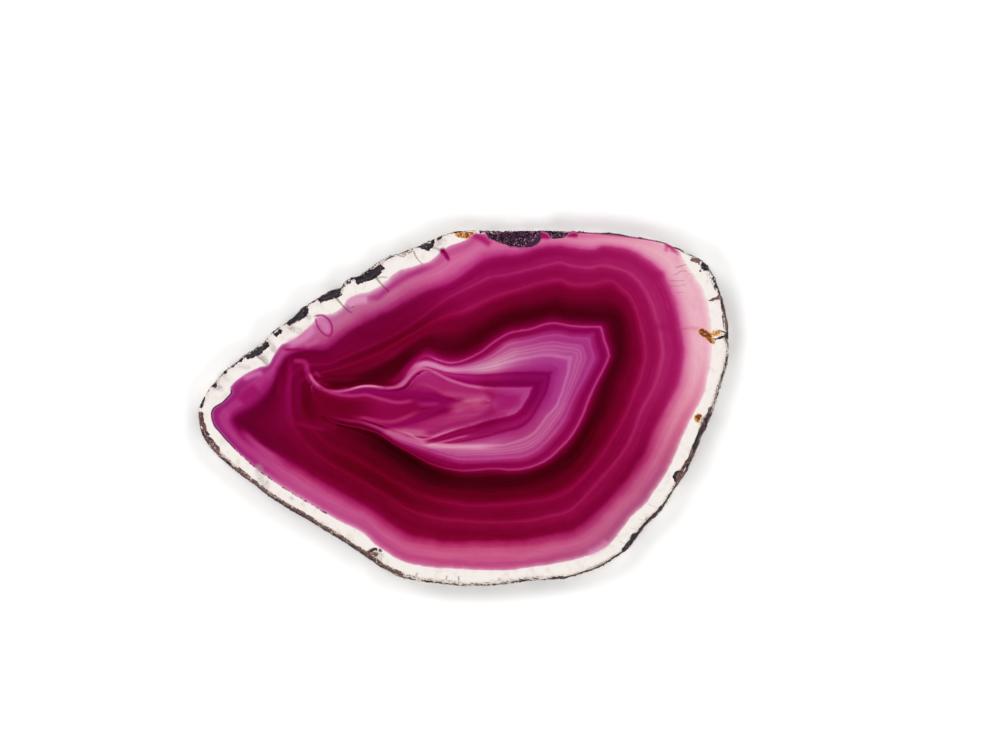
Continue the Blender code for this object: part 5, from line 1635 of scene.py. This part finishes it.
class RimGrit(NodeRecipe):
    """Scatters grains over the rind, half sunk in it."""

    MOST = 6.0e6
    TILT = 0.5
    PATCHES = (0.4, 0.6)
    SMALLEST = (0.5, 0.5, 0.35)
    LARGEST = (1.5, 1.5, 0.9)

    def __init__(self, grain: bpy.types.Material) -> None:
        """Builds the tree.

        Args:
            grain: The grains' material.
        """
        super().__init__(
            "rim_grit",
            {
                "Spacing": 0.3 * MM,
                "Radius": 0.13 * MM,
                "Patch Size": 2.2 * MM,
                "Seed": 23,
                "Grain": grain,
            },
        )
        place = self.sheet.add("GeometryNodeInputPosition").outputs[0]
        patches = self.noise(place, self.size("Patch Size"), 3).eased(*self.PATCHES)
        where = self.attribute("rind") * patches * (1 - self.attribute("vug"))
        sockets = {"Radius": self.size("Radius"), "Subdivisions": 1}
        grain_shape = self.sheet.add("GeometryNodeMeshIcoSphere", {}, sockets).outputs["Mesh"]
        stretch = self.random_vector(self.SMALLEST, self.LARGEST, 1)
        self.end(self.scatter(grain_shape, self.MOST, where, stretch, self.TILT), ("Grain", None))


def placed(name: str, data: bpy.types.ID) -> bpy.types.Object:
    """A new object in the scene that shows this data."""
    shown = bpy.data.objects.new(name, data)
    bpy.context.scene.collection.objects.link(shown)
    return shown


def new_piece(name: str, mesh: bpy.types.Mesh) -> bpy.types.Object:
    """Puts a finished mesh in the scene, riding on the stone's one body.

    Args:
        name: The piece's name.
        mesh: Its mesh, in place. What passes the CAD solid's box is pressed back to it.

    Returns:
        The piece.
    """
    places = np.empty(len(mesh.vertices) * 3, np.float32)
    mesh.vertices.foreach_get("co", places)
    places = np.clip(places.reshape(-1, 3), *(np.array(corner, np.float32) for corner in cad_box))
    mesh.vertices.foreach_set("co", places.ravel())
    mesh.update()
    piece = placed(name, mesh)
    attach(piece, "root")
    mesh.calc_loop_triangles()
    log.info("%s: %d triangles", name, len(mesh.loop_triangles))
    return piece


@dataclass(frozen=True)
class BandedSlab:
    """The sawn slice, with an even net of points over its faces to hold the growth bands.

    Attributes:
        stone: The stone that the slice was sawn from.
        front_spacing: The net's spacing on the front face, in millimetres.
        back_spacing: The same on the back face.
        wall_cuts: How many cuts each edge of the rim takes.
        sawn_edge: How far the saw's clean edge runs down the rim.
        rind_inset: How far the rind stands outside the edge of the back face.
        band_lean: How far the bands lean between the back face and the front one.
        fine_mark: Marks narrower than this get points of their own.
        crust_fades: The heights between which the front edge's crust breaks up, as shares of the thickness.
        leaning_sides: How much of the leaning sides there is where that crust starts to break up less, and
            where it does so least.
        leaning_loss: How much less it does there.
        stray_depths: The heights between which the marks come to stray along the rim, in the same way.
        stray: How far they stray, in millimetres.
        stray_size: The size of the bends in them.
        vug_foot: The heights between which the vugs end, in the same way.
        seep: The heights between which the rim's dye fades, in the same way.
        mark_gap: How far the even net stands back from a fine mark, in half widths.
        edge_gap: How far it stands back from the face's edge, in spacings.
        join: What lies closer than this, in millimetres, is one point of the net.
        least_rind: Less rind than this counts as none.
        vugs: The pits in the rim that quartz grew in.
        dyed_rim: Where the dye reached the rind.
    """

    stone: BandedStone = BandedStone()
    front_spacing: float = 0.37
    back_spacing: float = 0.6
    wall_cuts: int = 2
    sawn_edge: float = 0.35
    rind_inset: float = 0.3
    band_lean: Place = (0.5, -0.3)
    fine_mark: float = 0.56
    crust_fades: Place = (0.66, 0.40)
    leaning_sides: Place = (0.1, 0.6)
    leaning_loss: float = 0.9
    stray_depths: Place = (0.72, 0.40)
    stray: float = 6.5
    stray_size: float = 2.0
    vug_foot: Place = (0.22, 0.5)
    seep: Place = (-0.3, 0.75)
    mark_gap: float = 1.4
    edge_gap: float = 0.4
    join: float = 1e-5
    least_rind: float = 0.01
    vugs: tuple[Mark, ...] = (
        Mark(((5.6, 31.9), (8.0, 31.0), (10.5, 30.6), (12.1, 30.7)), 2.0, 1.0, core=0.8),
        Mark(((16.3, 31.6), (17.4, 31.7)), 1.5, 1.0, core=0.7),
        Mark(((3.2, 31.9), (8.3, 31.7), (13.7, 31.9), (19.0, 31.8)), 0.5, 1.0, core=0.5),
    )
    dyed_rim: Mark = Mark(
        ((2.0, 31.9), (8.3, 31.6), (19.0, 31.7), (29.7, 30.8), (36.3, 29.6), (38.6, 28.2)),
        4.0, 1.0, core=0.8, fade=0.12,
    )

    def build(self) -> bpy.types.Mesh:
        """Makes the closed mesh of the slice, with what its materials need at each point.

        Returns:
            The mesh, with its rim still smooth.
        """
        wall = self.wall()
        places = np.array([vertex.co for vertex in wall.verts]) / MM
        faces = [[vertex.index for vertex in face.verts] for face in wall.faces]
        rings = self.rings(wall)
        wall.free()
        wall_count = len(places)
        front, back = sorted(rings, key=lambda ring: -places[ring[0], 2])
        for ring, spacing, faces_up in ((front, self.front_spacing, True), (back, self.back_spacing, False)):
            new_places, new_faces = self.cap(places[ring], spacing)
            numbers = np.concatenate((ring, np.arange(len(places), len(places) + len(new_places))))
            new_faces = numbers[new_faces]
            places = np.concatenate((places, new_places))
            faces.extend((new_faces if faces_up else new_faces[:, ::-1]).tolist())
        mesh = bpy.data.meshes.new("banded_slab")
        mesh.from_pydata(places * MM, [], faces)
        for name, values in self.values(places, places[front], places[back], wall_count).items():
            layer = mesh.attributes.new(name, "FLOAT", "POINT")
            layer.data.foreach_set("value", values.astype(np.float32))
        mesh.validate()
        return mesh

    def wall(self) -> bmesh.types.BMesh:
        """The rim of the solid slice, without its flat faces and with its own cut finer."""
        wall = bmesh.new()
        wall.from_mesh(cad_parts["agate_slice"].data)
        bmesh.ops.remove_doubles(wall, verts=wall.verts, dist=WELD)
        levels = (cad_box[0][2], cad_box[1][2])
        flat = []
        for face in wall.faces:
            heights = [vertex.co.z for vertex in face.verts]
            if any(all(abs(height - level) < WELD for height in heights) for level in levels):
                flat.append(face)
        bmesh.ops.delete(wall, geom=flat, context="FACES")
        bmesh.ops.subdivide_edges(wall, edges=wall.edges, cuts=self.wall_cuts, use_grid_fill=True)
        wall.verts.index_update()
        return wall

    @staticmethod
    def rings(wall: bmesh.types.BMesh) -> list[list[int]]:
        """The rim's open edges, as rings of point numbers."""
        following = {}
        for edge in wall.edges:
            if edge.is_boundary:
                corner = edge.link_loops[0]
                following[corner.vert.index] = corner.link_loop_next.vert.index
        rings = []
        while following:
            ring = [next(iter(following))]
            while ring[-1] in following:
                ring.append(following.pop(ring[-1]))
            rings.append(ring[:-1])
        return rings

    def cap(self, edge: np.ndarray, spacing: float) -> tuple[np.ndarray, np.ndarray]:
        """Fills one flat face with an even net of triangles, finer along the thin marks.

        Args:
            edge: The points of the face's edge, in order.
            spacing: The net's spacing.

        Returns:
            The points inside the edge, and the triangles, whose numbers count the edge's points first.
        """
        low, high = edge.min(axis=0), edge.max(axis=0)
        row_gap = spacing * math.sqrt(0.75)
        x, y = np.meshgrid(np.arange(low[0], high[0], spacing), np.arange(low[1], high[1], row_gap))
        x[1::2] += spacing / 2
        net = np.column_stack((x.ravel(), y.ravel()))
        for mark in self.stone.marks:
            if mark.half_width < self.fine_mark:
                away = distance_to_line(net, mark.line(), closed=False)[0]
                net = net[away > self.mark_gap * mark.half_width]
                net = np.concatenate((net, mark.net()))
        distance, inside, _ = distance_to_line(net, edge[:, :2], closed=True)
        net = net[inside & (distance > self.edge_gap * spacing)]
        flat = [Vector(point) for point in np.concatenate((edge[:, :2], net))]
        outline = list(range(len(edge)))
        _, _, triangles, origins, _, _ = geometry.delaunay_2d_cdt(flat, [], [outline], 1, self.join)
        first_origin = np.array([numbers[0] for numbers in origins])
        return np.column_stack((net, np.full(len(net), edge[0, 2]))), first_origin[np.array(triangles)]

    def values(
        self, places: np.ndarray, front: np.ndarray, back: np.ndarray, wall_count: int
    ) -> dict[str, np.ndarray]:
        """Works out what the materials read at each point.

        Args:
            places: All the points.
            front: The front face's edge.
            back: The back face's edge.
            wall_count: How many of the first points belong to the rim.

        Returns:
            The numbers at each point, by attribute name.
        """
        leaning = (1 - places[:, 2:] / THICKNESS) * np.array(self.band_lean)
        flat = places[:, :2] + leaning
        distance, inside, _ = distance_to_line(flat, back[:, :2], closed=True)
        depth = np.where(inside, distance, -distance) + self.rind_inset
        values = {"growth": self.stone.growth(flat, depth)}
        values.update({side.share_name: share for side, share in self.stone.shares(flat).items()})
        height = places[:, 2] / THICKNESS
        strayed = places[:, :2] + self.straying(places, wall_count, back[:, :2])
        values.update(self.stone.mark_layers(strayed + leaning))
        rim = places[:wall_count]
        edges = []
        for edge, away in ((front, THICKNESS - rim[:, 2]), (back, rim[:, 2])):
            edges.append(np.hypot(distance_to_line(rim[:, :2], edge[:, :2], closed=True)[0], away))
        rind = np.zeros(len(places))
        rind[:wall_count] = eased(np.minimum(*edges) / self.sawn_edge, 0.0, 1.0)
        values["rind"] = np.where(rind < self.least_rind, 0.0, rind)
        leaning_rind = values[Side.FLANK.share_name] + values[Side.HEEL.share_name]
        kept = 1 - self.leaning_loss * eased(leaning_rind, *self.leaning_sides)
        values["below"] = eased(height, *self.crust_fades) * values["rind"] * kept
        values["vug"] = sum(vug.strength(strayed) for vug in self.vugs) * eased(height, *self.vug_foot)
        values["dyed_rim"] = self.dyed_rim.strength(strayed) * eased(height, *self.seep)
        return values

    def straying(self, places: np.ndarray, wall_count: int, outline: np.ndarray) -> np.ndarray:
        """How far along the rim from its own place each point reads the marks. Only the rim's do so."""
        offsets = np.zeros((len(places), 2))
        rim = places[:wall_count]
        bends = np.array([noise.noise(Vector(place) / self.stray_size) for place in rim])
        bends *= self.stray * eased(rim[:, 2] / THICKNESS, *self.stray_depths)
        count = len(outline)
        spacing = np.hypot(*(outline - np.roll(outline, 1, axis=0)).T).mean()
        here = np.round(distance_to_line(rim[:, :2], outline, closed=True)[2] * count).astype(int)
        there = here + np.round(bends / spacing).astype(int)
        offsets[:wall_count] = outline[there % count] - outline[here % count]
        return offsets


class AgateSlice:
    """The whole object: the slab with its relief, the quartz in its vugs and the grit on its rim."""

    def build(self) -> None:
        """Makes the three pieces, each from the one before."""
        slab_mesh = BandedSlab().build()
        seat = placed("seat", slab_mesh)
        relief = RindRelief(PolishedAgate().make(), RoughRind().make())
        slab_mesh = relief.grow(seat, "banded_slab_mesh")
        seat.data = slab_mesh
        quartz_mesh = QuartzPoints(QuartzDruse().make()).grow(seat, "vug_quartz_mesh")
        grit_mesh = RimGrit(IronGrains().make()).grow(seat, "rim_grains_mesh")
        bpy.data.objects.remove(seat)
        slab_mesh.shade_smooth()
        slab_mesh.set_sharp_from_angle(angle=SHARP_ANGLE)
        slab = new_piece("banded_slab", slab_mesh)
        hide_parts("agate_slice")
        new_piece("vug_quartz", quartz_mesh)
        new_piece("rim_grains", grit_mesh)


@dataclass(frozen=True)
class Studio:
    """A pale floor under soft light, with a dim ceiling so that the polish mirrors nothing bright.

    Attributes:
        floor_size: The floor's side, in metres.
        floor_gap: How far the floor lies under the stone.
        lamp_size: The side of each square lamp.
        lamp_away: How far the lamps stand from the stone.
        lamp_height: How high they stand above the horizon, in degrees.
        lamp_powers: Each lamp's power in watts, by the direction that it stands in, in degrees.
        sky: The sky's brightness, by its height, as the sine of its angle above the horizon.
    """

    floor_size: float = 6.0
    floor_gap: float = 0.1 * MM
    floor_colour: Colour = (0.93, 0.925, 0.92)
    floor_roughness: float = 0.9
    floor_shine: float = 0.1
    lamp_size: float = 0.5
    lamp_away: float = 1.1
    lamp_height: float = 48.0
    lamp_powers: tuple[Place, ...] = ((45.0, 4.2), (135.0, 5.1), (225.0, 4.2), (315.0, 4.2))
    sky: tuple[Place, ...] = (
        (0.0, 0.80), (0.14, 0.78), (0.30, 0.35), (0.75, 0.22), (0.90, 0.02), (1.0, 0.01),
    )

    def build(self) -> None:
        """Sets up the floor, the lamps and the sky."""
        self.lay_floor()
        for direction, power in self.lamp_powers:
            self.hang_lamp(math.radians(direction), power)
        self.paint_sky()

    def lay_floor(self) -> None:
        """Lays the pale floor, which isn't part of the stone."""
        material, sheet = new_material("studio_floor")
        finish_material(
            sheet,
            Base_Color=(*self.floor_colour, 1.0),
            Roughness=self.floor_roughness,
            Specular_IOR_Level=self.floor_shine,
        )
        half = self.floor_size / 2
        level = cad_box[0][2] - self.floor_gap
        corners = [(x, y, level) for x, y in ((-half, -half), (half, -half), (half, half), (-half, half))]
        mesh = bpy.data.meshes.new("studio_floor")
        mesh.from_pydata(corners, [], [(0, 1, 2, 3)])
        mesh.materials.append(material)
        placed("studio_floor", mesh)

    def hang_lamp(self, direction: float, power: float) -> None:
        """Hangs one square lamp that faces the stone."""
        height = math.radians(self.lamp_height)
        level = math.cos(height)
        away = Vector((math.cos(direction) * level, math.sin(direction) * level, math.sin(height)))
        light = bpy.data.lights.new("soft_lamp", "AREA")
        light.shape = "SQUARE"
        light.size = self.lamp_size
        light.energy = power
        lamp = placed("soft_lamp", light)
        lamp.location = away * self.lamp_away
        lamp.rotation_euler = away.to_track_quat("Z", "Y").to_euler()

    def paint_sky(self) -> None:
        """Gives the world a pale horizon that darkens towards the zenith."""
        world = bpy.data.worlds.new("studio_sky")
        world.use_nodes = True
        sheet = NodeSheet(world.node_tree)
        direction = sheet.add("ShaderNodeTexCoord").outputs["Generated"]
        height = sheet.add("ShaderNodeSeparateXYZ", {}, {0: direction}).outputs["Z"]
        stops = [(place, (value, value, value)) for place, value in self.sky]
        colour = sheet.add("ShaderNodeValToRGB", {"stops": stops}, {"Fac": height}).outputs["Color"]
        background = sheet.add("ShaderNodeBackground", {}, {"Color": colour, "Strength": 1.0})
        sheet.add("ShaderNodeOutputWorld", {}, {"Surface": background.outputs[0]})
        bpy.context.scene.world = world


@dataclass(frozen=True)
class PhotoCamera:
    """The photograph's view of the polished face, straight on.

    Attributes:
        frame_width: The width of what the photograph shows, at the front face, in millimetres.
        aim: The point of the front face in the middle of the photograph.
        lens: The lens's focal length, in millimetres.
        sensor: The sensor's width.
        nearest: The nearest that the camera sees, in metres.
    """

    frame_width: float = 178.57
    aim: Place = (6.5, 6.0)
    lens: float = 180.0
    sensor: float = 36.0
    nearest: float = 0.01

    def build(self) -> None:
        """Hangs the camera over the stone and makes it the scene's own."""
        camera = bpy.data.cameras.new("photo_camera")
        camera.lens = self.lens
        camera.sensor_width = self.sensor
        camera.clip_start = self.nearest
        stand = placed("photo_camera", camera)
        away = self.frame_width * self.lens / self.sensor
        x, y = self.aim
        stand.location = (x * MM, y * MM, (THICKNESS + away) * MM)
        bpy.context.scene.camera = stand


def main() -> None:
    """Builds the stone, then the studio and the camera."""
    logging.basicConfig(level=logging.INFO, format="%(name)s: %(message)s")
    bpy.context.scene.view_settings.view_transform = "Standard"
    PhotoCamera().build()
    AgateSlice().build()
    Studio().build()


if __name__ == "__main__":
    main()
